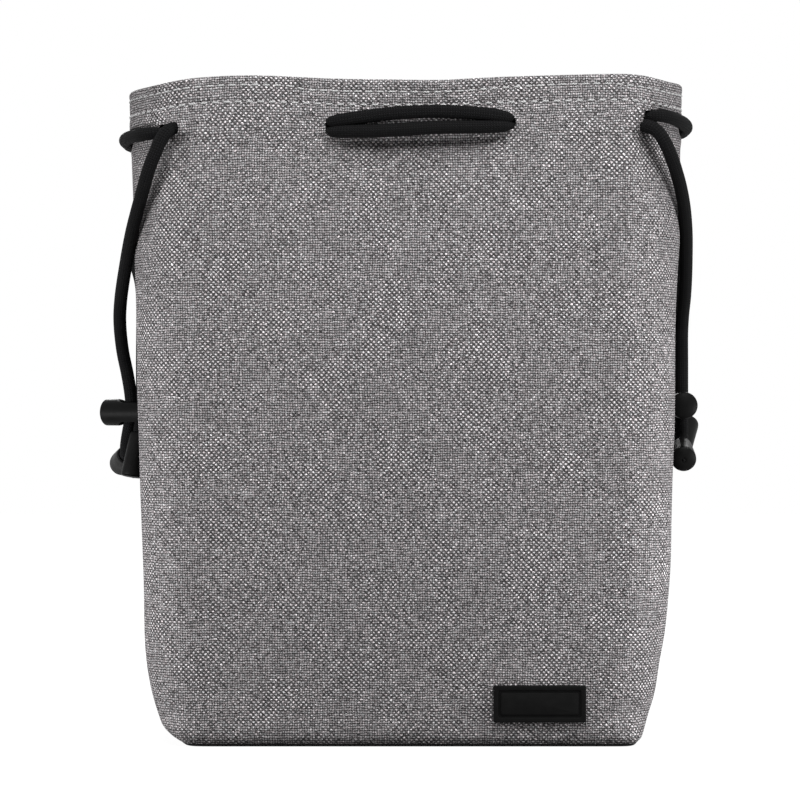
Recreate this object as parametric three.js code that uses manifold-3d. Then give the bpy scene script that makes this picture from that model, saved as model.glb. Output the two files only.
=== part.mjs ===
// A drawstring camera pouch: a padded cloth bag that stands on a flat base, with two drawcords
// woven in and out of the channel round its mouth. The two ends of each cord leave on one side,
// pass through a barrel lock there and end in bell-shaped cord ends with snap lids.
// Millimetres, +Z up. The origin is on the floor under the middle of the bag, -Y is the front
// and +X the right-hand side.
import * as THREE from 'three';
import { mergeVertices } from 'three/addons/utils/BufferGeometryUtils.js';
import Module from 'manifold-3d';

const wasm = await Module();
wasm.setup();

// Bag shape: half widths and half depths are taken on the outside of the cloth
const rimHeight = 260;
const baseHalfWidth = 101.5;
const rimHalfWidth = 110.9;
const wallSag = 0.6;
const baseHalfDepth = 49;
const rimHalfDepth = 52;
const footReachX = 15;
const footHeightX = 45;
const footCutX = 2;
const footReachY = 6;
const footHeightY = 9;
const footCutY = 1.5;
const baseCornerWidth = 20;
const rimCornerWidth = 30;
const bodyCornerDepth = 21;
const rimCornerDepth = 47;
const cornerOpensFrom = 120;
const gussetHollow = 13.5;
const hollowBottom = 12;
const hollowFullFrom = 60;
const hollowFullTo = 180;
const hollowTop = 236;
const frontBow = 2.5;

// Layers of the wall, outside to inside
const clothThickness = 1;
const foamThickness = 5;
const baseFoamThickness = 5;
const baseClothThickness = 1.2;
const liningThickness = 1;
const layerGap = 0.3;
const padJoint = 2;

// Drawcords: the two strands lie one above the other round the mouth
const cordDiameter = 5;
const cordSides = 8;
const cordGap = 0.3;
const channelGap = 0.45;
const outsideGap = 0.6;
const cordDrop = 17.7;
const cordTilt = 0.0122;
const cordPitch = 5.3;
const weaveRadius = 11.2;
const runEndX = { left: -76.2, right: 78.2 };
const tailStartX = { left: -76.9, right: 79.1 };
const weaveSteps = 5;
const channelSteps = 13;
const ringSpacing = 1.5;
const spanSteps = 12;
const spanBulge = 2.2;
const spanArch = 2.2;

// Slits in the outer cloth: where the middle of each one stands across the front and the back,
// and where the cords cross the cloth in them
const slitX = { outerLeft: -93.2, innerLeft: -26, innerRight: 36.2, outerRight: 93.3 };
const strandX = { outerLeft: -96.2, innerLeft: -26, innerRight: 36.2, outerRight: 94.4 };
const tailX = { left: -89.2, right: 91.4 };
const slitHalfLength = 6.2;
const slitClearance = 0.85;
const cornerSlitExtra = 4;

// Hem and channel
const hemTopRounding = 0.7;
const channelSlack = 0.4;

// Rubber patch low on the front
const patchWidth = 36;
const patchHeight = 14.4;
const patchThickness = 1.7;
const patchCorner = 0.8;
const patchFrame = 1.9;
const patchGroove = 1.1;
const patchGrooveDepth = 0.6;
const patchCentreX = 51.8;
const patchCentreZ = 17.1;

// Barrel lock, measured along its axis from the domed end
const lockDiameter = 10.8;
const lockBore = 8.6;
const lockDomeHeight = 1.3;
const lockEndWall = 1.2;
const lockHousingLength = 26;
const lockSlotStart = 8.6;
const lockSlotEnd = 23.6;
const lockSlotWidth = 6.4;
const lockSlotFlare = 1.5;
const lockFlareDepth = 2.4;
const buttonDiameter = 8.2;
const buttonStart = 6.6;
const buttonEnd = 28.8;
const buttonTravel = 2;
const springWire = 0.6;
const springDiameter = 6.4;
const springTurns = 3;
const springTurnSteps = 6;
const springSides = 4;

// Bell-shaped cord ends, measured along their axis from the narrow end
const bellNeckRadius = 3.5;
const bellMouthRadius = 5;
const bellLength = 17.6;
const bellWall = 0.7;
const bellNeckDepth = 5;
const lidFlange = 1.8;
const lidPlugDepth = 1.8;
const lidDome = 1.3;
const knotRadius = 3.3;
const knotDistance = 9.6;

// Colours, roughness and metalness
const finishes = {
  cloth: { color: 0x767374, roughness: 0.95, metalness: 0 },
  lining: { color: 0x3b3b3d, roughness: 0.9, metalness: 0 },
  foam: { color: 0x26262a, roughness: 1, metalness: 0 },
  cord: { color: 0x17171a, roughness: 0.8, metalness: 0 },
  patch: { color: 0x141416, roughness: 0.55, metalness: 0 },
  plastic: { color: 0x1b1b1e, roughness: 0.4, metalness: 0 },
  steel: { color: 0xb4b6ba, roughness: 0.35, metalness: 1 },
};

// Values that follow from the ones above
const cordRadius = cordDiameter / 2;
const foamInset = clothThickness + layerGap;
const channelDepth = cordDiameter + 2 * channelGap;
const liningInset = Math.max(foamInset + foamThickness + layerGap, clothThickness + channelDepth);
const cordInset = clothThickness + channelGap + cordRadius;
const cordStandOff = outsideGap + cordRadius;
const cordLevel = rimHeight - cordDrop;
const cordRise = cordTilt * rimHalfWidth;
const padTop = cordLevel - cordRise - cordPitch / 2 - cordRadius - channelSlack;
const channelTop = cordLevel + cordRise + cordPitch / 2 + cordRadius + layerGap;
const hemInset = foamInset + liningThickness + layerGap;
const hemBottom = channelTop + liningThickness + layerGap;
const foamFloor = baseClothThickness + layerGap;
const liningFloor = foamFloor + baseFoamThickness + layerGap;
const lockRadius = lockDiameter / 2;
const lockAxisMiddle = (lockSlotStart + lockSlotEnd) / 2;

// Shares of a quarter of the outline that the gusset, the corner and the front take up
const gussetShare = 0.25;
const frontShare = 0.6;
const seamShare = 0.0018;
const wallShares = [0.28, 0.54, 0.74, 0.88, 1];
const gussetSteps = 2;
const cornerSteps = 4;
const frontSteps = 3;

const { clamp, lerp, smoothstep, degToRad } = THREE.MathUtils;

// Half width, half depth, corners and hollow of the outline at one height
function footInset(z, reach, height, cut) {
  const fall = 1 - clamp((z + cut) / height, 0, 1);
  return reach * (1 - Math.sqrt(1 - fall * fall));
}

function outlineAt(z) {
  const t = z / rimHeight;
  const sag = wallSag * Math.sin(Math.PI * t);
  const widthInset = sag + footInset(z, footReachX, footHeightX, footCutX);
  const width = lerp(baseHalfWidth, rimHalfWidth, t) - widthInset;
  const depth = lerp(baseHalfDepth, rimHalfDepth, t) - footInset(z, footReachY, footHeightY, footCutY);
  const cornerWidth = lerp(baseCornerWidth, rimCornerWidth, t);
  const cornerDepth = lerp(bodyCornerDepth, rimCornerDepth, smoothstep(z, cornerOpensFrom, rimHeight));
  const filling = smoothstep(z, hollowBottom, hollowFullFrom) * (1 - smoothstep(z, hollowFullTo, hollowTop));
  return {
    width,
    depth,
    cornerX: width - cornerWidth,
    cornerY: depth - cornerDepth,
    hollow: gussetHollow * filling,
    bow: frontBow * Math.sin(Math.PI * clamp(t, 0, 1)),
  };
}

function quarterPoint(q, outline) {
  if (q <= gussetShare) {
    const t = q / gussetShare;
    const swell = t * t * (3 - 2 * t);
    return [outline.width - outline.hollow * (1 - swell), outline.cornerY * t];
  }
  if (q <= frontShare) {
    const angle = ((q - gussetShare) / (frontShare - gussetShare)) * (Math.PI / 2);
    return [
      lerp(outline.cornerX, outline.width, Math.cos(angle)),
      lerp(outline.cornerY, outline.depth, Math.sin(angle)),
    ];
  }
  const t = (1 - q) / (1 - frontShare);
  const bulge = outline.bow * (1 - t * t) * (1 - t * t);
  return [outline.cornerX * t, outline.depth + bulge];
}

// The outline runs from the left gusset (0) past the front (1), the right gusset (2) and the
// back (3) to the left gusset again (4)
function outlinePoint(u, z) {
  const quarter = Math.floor(u) % 4;
  const along = u - Math.floor(u);
  const q = quarter % 2 === 0 ? along : 1 - along;
  const [x, y] = quarterPoint(q, outlineAt(z));
  const onLeft = quarter === 0 || quarter === 3;
  return new THREE.Vector2(onLeft ? -x : x, quarter < 2 ? -y : y);
}

function outlineNormal(u, z) {
  const step = 1e-3;
  const ahead = outlinePoint(u + step, z);
  const behind = outlinePoint(u - step + 4, z);
  return new THREE.Vector2(ahead.y - behind.y, behind.x - ahead.x).normalize();
}

function layerPoint(u, z, inset, half = 0) {
  const place = outlinePoint(u, z).addScaledVector(outlineNormal(u, z), -inset);
  const seam = layerGap / 2;
  const y = half === 0 ? place.y : half * Math.max(half * place.y, seam);
  return new THREE.Vector3(place.x, y, z);
}

// Closed meshes from rings of points
function closedGeometry(positions, faces) {
  let volume = 0;
  for (const [a, b, c] of faces) {
    volume += positions[a].dot(positions[b].clone().cross(positions[c]));
  }
  const turned = volume < 0 ? faces.map(([a, b, c]) => [a, c, b]) : faces;
  const geometry = new THREE.BufferGeometry().setFromPoints(positions);
  geometry.setIndex(turned.flat());
  geometry.computeVertexNormals();
  return geometry;
}

function bandFaces(ringCount, ringSize, turnFrom = ringSize) {
  const faces = [];
  for (let i = 0; i < ringCount - 1; i += 1) {
    for (let j = 0; j < ringSize; j += 1) {
      const a = i * ringSize + j;
      const b = i * ringSize + ((j + 1) % ringSize);
      if (j < turnFrom) {
        faces.push([a, b, b + ringSize], [a, b + ringSize, a + ringSize]);
      } else {
        faces.push([a, b, a + ringSize], [b, b + ringSize, a + ringSize]);
      }
    }
  }
  return faces;
}

// Stacked closed rings, each end covered by a fan round its middle
function stackRings(rings) {
  const size = rings[0].length;
  const positions = rings.flat();
  const faces = bandFaces(rings.length, size);
  for (const [index, start] of [[0, 0], [rings.length - 1, (rings.length - 1) * size]]) {
    const middle = rings[index].reduce((sum, p) => sum.add(p), new THREE.Vector3()).divideScalar(size);
    positions.push(middle);
    const centre = positions.length - 1;
    for (let j = 0; j < size; j += 1) {
      const pair = [start + j, start + ((j + 1) % size)];
      faces.push(index === 0 ? [centre, pair[1], pair[0]] : [centre, pair[0], pair[1]]);
    }
  }
  return closedGeometry(positions, faces);
}

// A wall between an outer and an inner rail of [inset, height] pairs, carried along the outline.
// The facets of both faces are split the same way, so that neighbouring layers stay parallel
function ribbonWall(outerRail, innerRail, columns, half) {
  const profile = [...outerRail, ...innerRail.toReversed()];
  const rings = columns.map((u) => profile.map(([inset, z]) => facetPoint(u, z, inset, half)));
  const size = profile.length;
  const faces = bandFaces(rings.length, size, outerRail.length);
  const last = (rings.length - 1) * size;
  for (let i = 0; i < outerRail.length - 1; i += 1) {
    const quad = [i, i + 1, size - 2 - i, size - 1 - i];
    faces.push([quad[0], quad[2], quad[1]], [quad[0], quad[3], quad[2]]);
    faces.push([last + quad[0], last + quad[1], last + quad[2]], [last + quad[0], last + quad[2], last + quad[3]]);
  }
  return closedGeometry(rings.flat(), faces);
}

function evenly(from, to, count) {
  return Array.from({ length: count + 1 }, (_, i) => lerp(from, to, i / count));
}

// Heights at which the walls and floor pads have a ring: the same ones for every layer, so that
// the layers stay parallel, close together in the rounded foot and wider above it
const footLevels = [
  0, baseClothThickness, foamFloor, foamFloor + baseFoamThickness / 3, liningFloor - layerGap,
  liningFloor, liningFloor + liningThickness, footHeightX * 0.32, footHeightX * 0.6, footHeightX,
];

function wallHeights(from) {
  const foot = footLevels.filter((z) => z >= from);
  const above = wallShares.map((share) => lerp(footHeightX, padTop, share));
  return [...foot, ...above];
}

// Columns of one half of the bag, from the left gusset round to the right one
function halfColumns(start) {
  const quarter = [
    ...evenly(0, gussetShare, gussetSteps),
    ...evenly(gussetShare, frontShare, cornerSteps).slice(1),
    ...evenly(frontShare, 1, frontSteps).slice(1),
  ];
  const mirrored = quarter.slice(0, -1).reverse().map((q) => 2 - q);
  return [...quarter, ...mirrored].map((u) => u + start);
}

// Columns between two places on the outline, with a further one at each end
function columnsBetween(from, to) {
  const all = [...halfColumns(0), ...halfColumns(2).slice(1), ...halfColumns(4).slice(1)];
  return [from, ...all.filter((u) => u > from + 0.005 && u < to - 0.005), to];
}

// A point on the flat facet between the two nearest columns
function facetPoint(u, z, inset, half) {
  const all = [...halfColumns(0), ...halfColumns(2).slice(1), ...halfColumns(4).slice(1)];
  const next = all.findIndex((column) => column >= u - 1e-9);
  if (Math.abs(all[next] - u) < 1e-9) {
    return layerPoint(u, z, inset, half);
  }
  const share = (u - all[next - 1]) / (all[next] - all[next - 1]);
  return layerPoint(all[next - 1], z, inset, half).lerp(layerPoint(all[next], z, inset, half), share);
}

// Solids for cutting and joining
function toSolid(geometry) {
  const bare = geometry.clone();
  bare.deleteAttribute('normal');
  bare.deleteAttribute('uv');
  const merged = mergeVertices(bare, 1e-4);
  const mesh = new wasm.Mesh({
    numProp: 3,
    vertProperties: new Float32Array(merged.attributes.position.array),
    triVerts: new Uint32Array(merged.index.array),
  });
  return new wasm.Manifold(mesh);
}

function toGeometry(solid) {
  const mesh = solid.getMesh();
  const geometry = new THREE.BufferGeometry();
  geometry.setAttribute('position', new THREE.BufferAttribute(new Float32Array(mesh.vertProperties), 3));
  geometry.setIndex(new THREE.BufferAttribute(new Uint32Array(mesh.triVerts), 1));
  geometry.computeVertexNormals();
  return geometry;
}

function cutAll(geometry, cutters) {
  return toGeometry(cutters.reduce((solid, cutter) => solid.subtract(toSolid(cutter)), toSolid(geometry)));
}

// Arc lengths along the outside of the mouth at the height of the cords
const mouthSamples = [];
let mouthLength = 0;
for (const u of evenly(0, 4, 1600)) {
  const point = facetPoint(u, cordLevel, 0, 0);
  const previous = mouthSamples.at(-1);
  mouthLength += previous ? point.distanceTo(previous.point) : 0;
  mouthSamples.push({ u, point, arc: mouthLength });
}

const facetArcs = [...halfColumns(0), ...halfColumns(2)].map((u) => {
  return mouthSamples.findLast((sample) => sample.u <= u + 1e-6).arc;
});

function mouthU(arc) {
  const wrapped = ((arc % mouthLength) + mouthLength) % mouthLength;
  const next = mouthSamples.findIndex((sample) => sample.arc >= wrapped);
  if (next <= 0) {
    return 0;
  }
  const before = mouthSamples[next - 1];
  const after = mouthSamples[next];
  return lerp(before.u, after.u, (wrapped - before.arc) / (after.arc - before.arc));
}

function mouthArc(x, onFront) {
  const side = mouthSamples.filter((sample) => onFront === sample.point.y < 0);
  const near = (sample) => Math.abs(sample.point.x - x);
  return side.reduce((best, sample) => (near(sample) < near(best) ? sample : best)).arc;
}

function crossings(places) {
  const pairs = Object.entries(places).map(([name, x]) => [name, [mouthArc(x, true), mouthArc(x, false)]]);
  return Object.fromEntries(pairs);
}

const slitArcs = crossings(slitX);
const strandArcs = crossings(strandX);
const tailArcs = crossings(tailX);
const runEnds = crossings(runEndX);
const tailStarts = crossings(tailStartX);

// A cord crosses the cloth on two equal arcs that turn opposite ways
const weaveShift = cordInset + cordStandOff;
const weaveHalf = Math.sqrt(weaveRadius ** 2 - (weaveRadius - weaveShift / 2) ** 2);

function weave(distance) {
  const reach = weaveHalf - Math.min(Math.abs(distance), weaveHalf);
  const rise = weaveRadius - Math.sqrt(weaveRadius ** 2 - reach ** 2);
  return distance < 0 ? rise : weaveShift - rise;
}

// How far outside the channel a cord stands at one place along the mouth
function cordOffset(arc, spans) {
  let offset = -cordInset;
  for (const [out, back, bulge] of spans) {
    const inSpan = weave(arc - out) + weave(back - arc) - weaveShift;
    const along = clamp((arc - out) / (back - out), 0, 1);
    offset += inSpan + bulge * Math.sin(Math.PI * along) ** 2;
  }
  return offset;
}

function mouthPoint(arc, offset) {
  const u = mouthU(arc);
  const place = facetPoint(u, cordLevel, 0, 0);
  const normal = outlineNormal(u, cordLevel);
  return new THREE.Vector2(place.x + normal.x * offset, place.y + normal.y * offset);
}

function runPoint(arc, spans, level, archedSpan) {
  const place = mouthPoint(arc, cordOffset(arc, spans));
  const along = archedSpan ? clamp((arc - archedSpan[0]) / (archedSpan[1] - archedSpan[0]), 0, 1) : 0;
  const arch = spanArch * Math.sin(Math.PI * along) ** 2;
  return new THREE.Vector3(place.x, place.y, cordLevel + cordTilt * place.x + level * (cordPitch / 2) + arch);
}

// Places along the mouth where the run has a ring: close together where it crosses the cloth
function runArcs(start, end, spans) {
  const arcs = [start];
  let from = start;
  for (const [out, back] of spans) {
    const channel = Math.max(2, Math.round((out - weaveHalf - from) / channelSteps));
    arcs.push(...evenly(from, out - weaveHalf, channel).slice(1));
    arcs.push(...evenly(out - weaveHalf, out + weaveHalf, weaveSteps).slice(1));
    const outside = Math.max(2, Math.round((back - out - 2 * weaveHalf) / spanSteps));
    arcs.push(...evenly(out + weaveHalf, back - weaveHalf, outside).slice(1));
    arcs.push(...evenly(back - weaveHalf, back + weaveHalf, weaveSteps).slice(1));
    from = back + weaveHalf;
  }
  const rest = Math.max(2, Math.round((end - from) / channelSteps));
  arcs.push(...evenly(from, end, rest).slice(1));
  const inReach = (arc) => arc > start && arc < end;
  const apart = (arc) => arcs.every((other) => Math.abs(other - arc) > ringSpacing);
  const bends = facetArcs.flatMap((arc) => [arc, arc + mouthLength]).filter(inReach);
  return [...arcs, ...bends.filter(apart)].sort((a, b) => a - b);
}

// A tube with a ring at each point of its route
class Route extends THREE.CatmullRomCurve3 {
  getPointAt(t, target) {
    return this.getPoint(t, target);
  }

  getTangentAt(t, target) {
    return this.getTangent(t, target);
  }
}

function polygon(radius, sides) {
  const corners = [];
  for (let i = 0; i < sides; i += 1) {
    const angle = (2 * Math.PI * i) / sides;
    corners.push(new THREE.Vector2(radius * Math.cos(angle), radius * Math.sin(angle)));
  }
  return new THREE.Shape(corners);
}

function tube(points, radius, sides) {
  const path = new Route(points, false, 'centripetal');
  const options = { steps: points.length - 1, extrudePath: path, bevelEnabled: false };
  return new THREE.ExtrudeGeometry(polygon(radius, sides), options);
}

// Outer cloth between two places on the outline: wall, rolled rim and the hem folded down inside
function outerCloth(from, to) {
  const heights = wallHeights(0);
  const shoulder = rimHeight - hemTopRounding;
  const foldInner = hemInset + clothThickness;
  const foldMiddle = foldInner / 2;
  const roofInside = rimHeight - clothThickness - layerGap;
  const outerRail = [
    ...heights.map((z) => [0, z]),
    [0, hemBottom],
    [0, shoulder],
    [foldMiddle, rimHeight],
    [foldInner, shoulder],
    [foldInner, hemBottom],
  ];
  const innerRail = [
    ...heights.map((z) => [clothThickness, z]),
    [clothThickness, hemBottom],
    [clothThickness, roofInside - 0.1],
    [foldMiddle, roofInside],
    [hemInset, roofInside - 0.1],
    [hemInset, hemBottom],
  ];
  return ribbonWall(outerRail, innerRail, columnsBetween(from, to), 0);
}

// The front or the back, from gusset to gusset, with its four slits
function outerPanel(half) {
  const start = half < 0 ? 0 : 2;
  const wall = outerCloth(start + gussetShare + seamShare, start + 2 - gussetShare - seamShare);
  const side = half < 0 ? 0 : 1;
  const cutters = Object.entries(slitArcs).map(([name, arcs]) => {
    return slitCutter(arcs[side], name.startsWith('outer') ? cornerSlitExtra : 0);
  });
  return cutAll(wall, cutters);
}

// The strip that folds inwards between the front and the back
function outerGusset(middle) {
  return outerCloth(middle - gussetShare + seamShare, middle + gussetShare - seamShare);
}

// An eye-shaped prism through the outer cloth only
function slitCutter(arc, extra) {
  const middle = mouthPoint(arc, 0);
  const normal = outlineNormal(mouthU(arc), cordLevel);
  const along = new THREE.Vector3(-normal.y, normal.x, 0);
  const halfLength = slitHalfLength + extra;
  const halfHeight = cordPitch / 2 + cordRadius + slitClearance;
  const level = cordLevel + cordTilt * middle.x;
  const corners = 12;
  const reach = cordInset;
  const rings = [-reach, reach].map((depth) => {
    const ring = [];
    for (let i = 0; i < corners; i += 1) {
      const angle = (2 * Math.PI * i) / corners;
      const bend = (value) => Math.sign(value) * Math.sqrt(Math.abs(value));
      const point = new THREE.Vector3(middle.x + normal.x * depth, middle.y + normal.y * depth, level);
      point.addScaledVector(along, halfLength * bend(Math.cos(angle)));
      point.z += halfHeight * bend(Math.sin(angle));
      ring.push(point);
    }
    return ring;
  });
  return stackRings(rings);
}

// Lining: it follows the foam, curls over the cords and is caught in the hem
function liningPanel(half) {
  const start = half < 0 ? 0 : 2;
  const heights = wallHeights(liningFloor);
  const depth = liningInset - foamInset;
  const caught = rimHeight - clothThickness - 2 * layerGap;
  const back = liningInset + liningThickness;
  const outerRail = [
    ...heights.map((z) => [liningInset, z]),
    [liningInset, channelTop - 2.6],
    [foamInset + depth * 0.95, channelTop - 1.3],
    [foamInset + depth * 0.78, channelTop - 0.3],
    [foamInset + depth * 0.5, channelTop],
    [foamInset, channelTop],
    [foamInset, caught],
  ];
  const innerRail = [
    ...heights.map((z) => [back, z]),
    [back, channelTop - 2.6],
    [back - 0.2, channelTop - 0.9],
    [back - depth * 0.25, channelTop + liningThickness * 0.55],
    [foamInset + depth * 0.52, channelTop + liningThickness],
    [foamInset + liningThickness, channelTop + liningThickness],
    [foamInset + liningThickness, caught],
  ];
  return ribbonWall(outerRail, innerRail, halfColumns(start), half);
}

// A foam pad between two places on the outline, from the floor pad up to the channel
function foamPad(from, to, half = 0) {
  const heights = wallHeights(liningFloor);
  const outerRail = heights.map((z) => [foamInset, z]);
  const innerRail = heights.map((z) => [foamInset + foamThickness, z]);
  return ribbonWall(outerRail, innerRail, columnsBetween(from, to), half);
}

// A flat pad or cloth across the floor of the bag
function floorPlate(bottom, thickness, inset) {
  const columns = [...halfColumns(0).slice(0, -1), ...halfColumns(2).slice(0, -1)];
  const levels = footLevels.filter((z) => z > bottom - 0.01 && z < bottom + thickness + 0.01);
  return stackRings(levels.map((z) => columns.map((u) => layerPoint(u, z, inset))));
}

// Rubber patch: a frame, a groove and a bare raised field
function roundedRing(width, height, corner, depth) {
  const ring = [];
  const steps = 4;
  for (let quarter = 0; quarter < 4; quarter += 1) {
    const sideX = quarter === 0 || quarter === 3 ? 1 : -1;
    const sideZ = quarter < 2 ? 1 : -1;
    for (let i = 0; i <= steps; i += 1) {
      const angle = ((quarter + i / steps) * Math.PI) / 2;
      const x = sideX * (width / 2 - corner) + corner * Math.cos(angle);
      const z = sideZ * (height / 2 - corner) + corner * Math.sin(angle);
      ring.push(new THREE.Vector3(x, depth, z));
    }
  }
  return ring;
}

function patchSolid() {
  const block = stackRings([
    roundedRing(patchWidth, patchHeight, patchCorner, 0),
    roundedRing(patchWidth, patchHeight, patchCorner, -patchThickness + 0.3),
    roundedRing(patchWidth - 0.6, patchHeight - 0.6, patchCorner, -patchThickness),
  ]);
  const field = 2 * (patchFrame + patchGroove);
  const grooveFloor = -patchThickness + patchGrooveDepth;
  const outside = stackRings([
    roundedRing(patchWidth - 2 * patchFrame, patchHeight - 2 * patchFrame, patchCorner, grooveFloor),
    roundedRing(patchWidth - 2 * patchFrame, patchHeight - 2 * patchFrame, patchCorner, -patchThickness - 1),
  ]);
  const inside = stackRings([
    roundedRing(patchWidth - field, patchHeight - field, patchCorner, grooveFloor + 1),
    roundedRing(patchWidth - field, patchHeight - field, patchCorner, -patchThickness - 2),
  ]);
  const groove = toSolid(outside).subtract(toSolid(inside));
  return toGeometry(toSolid(block).subtract(groove));
}

// Lathe about local X, from a profile of [distance along the axis, radius]
function turned(profile, segments) {
  const points = profile.map(([along, radius]) => new THREE.Vector2(radius, along));
  return new THREE.LatheGeometry(points, segments).rotateZ(-Math.PI / 2);
}

// A slot across the barrel along Z, flared where it meets the outside
function slotRing(start, end, halfWidth, z) {
  const ring = [];
  const steps = 6;
  for (const [centre, first] of [[end - halfWidth, -0.5], [start + halfWidth, 0.5]]) {
    for (let i = 0; i <= steps; i += 1) {
      const angle = Math.PI * (first + i / steps);
      ring.push(new THREE.Vector3(centre + halfWidth * Math.cos(angle), halfWidth * Math.sin(angle), z));
    }
  }
  return ring;
}

function slotCutters(start, end, width, flare, radius) {
  const half = width / 2;
  const top = radius + 0.5;
  const cutters = [stackRings([slotRing(start, end, half, -top), slotRing(start, end, half, top)])];
  if (flare > 0) {
    for (const side of [-1, 1]) {
      cutters.push(stackRings([
        slotRing(start, end, half, side * lockFlareDepth),
        slotRing(start - flare / 2, end + flare / 2, half + flare, side * top),
      ]));
    }
  }
  return cutters;
}

function lockHousing() {
  const bore = lockBore / 2;
  const profile = [
    [lockEndWall, 0],
    [0, 0],
    [0.15, lockRadius * 0.45],
    [lockDomeHeight * 0.35, lockRadius * 0.8],
    [lockDomeHeight, lockRadius],
    [lockHousingLength - 0.5, lockRadius],
    [lockHousingLength, lockRadius - 0.5],
    [lockHousingLength, bore],
    [lockEndWall, bore],
    [lockEndWall, 0],
  ];
  const cutters = slotCutters(lockSlotStart, lockSlotEnd, lockSlotWidth, lockSlotFlare, lockRadius);
  return cutAll(turned(profile, 16), cutters);
}

function lockButton() {
  const radius = buttonDiameter / 2;
  const profile = [
    [buttonStart, 0],
    [buttonStart, radius - 0.3],
    [buttonStart + 0.3, radius],
    [buttonEnd - 1, radius],
    [buttonEnd - 0.35, radius - 0.4],
    [buttonEnd, radius - 1.4],
    [buttonEnd, 0],
  ];
  const slotStart = lockSlotStart;
  const slotEnd = lockSlotEnd + buttonTravel;
  return cutAll(turned(profile, 16), slotCutters(slotStart, slotEnd, lockSlotWidth, 0, radius));
}

// One unbroken helix between the end wall and the button, its ends half a wire clear of them
function lockSpring() {
  const from = lockEndWall + layerGap + springWire / 2;
  const to = buttonStart - layerGap - springWire / 2;
  const radius = (springDiameter - springWire) / 2;
  const steps = springTurns * springTurnSteps;
  const points = [];
  for (let i = 0; i <= steps; i += 1) {
    const angle = (2 * Math.PI * i) / springTurnSteps;
    points.push(new THREE.Vector3(lerp(from, to, i / steps), radius * Math.cos(angle), radius * Math.sin(angle)));
  }
  return tube(points, springWire / 2, springSides);
}

// Bell with a bore for the cord, a chamber for the knot and an open mouth for the lid
function bell() {
  const bore = cordRadius + channelGap;
  const chamber = bellMouthRadius - bellWall;
  const waist = lerp(bellNeckRadius, bellMouthRadius, 0.3);
  const profile = [
    [0, bore],
    [0, bellNeckRadius - 0.2],
    [0.5, bellNeckRadius + 0.1],
    [bellLength * 0.3, waist],
    [bellLength * 0.62, lerp(bellNeckRadius, bellMouthRadius, 0.68)],
    [bellLength * 0.86, bellMouthRadius - 0.15],
    [bellLength, bellMouthRadius],
    [bellLength, chamber],
    [bellNeckDepth + 2.6, waist - bellWall * 0.4],
    [bellNeckDepth, bore],
    [0, bore],
  ];
  return turned(profile, 12);
}

function bellLid() {
  const plug = bellMouthRadius - bellWall - layerGap - 0.15;
  const seat = bellLength + layerGap;
  const profile = [
    [seat - lidPlugDepth, 0],
    [seat - lidPlugDepth, plug],
    [seat, plug],
    [seat, bellMouthRadius],
    [seat + lidFlange - lidDome, bellMouthRadius - 0.1],
    [seat + lidFlange - lidDome * 0.55, bellMouthRadius * 0.84],
    [seat + lidFlange - lidDome * 0.2, bellMouthRadius * 0.56],
    [seat + lidFlange, 0],
  ];
  return turned(profile, 12);
}

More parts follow.
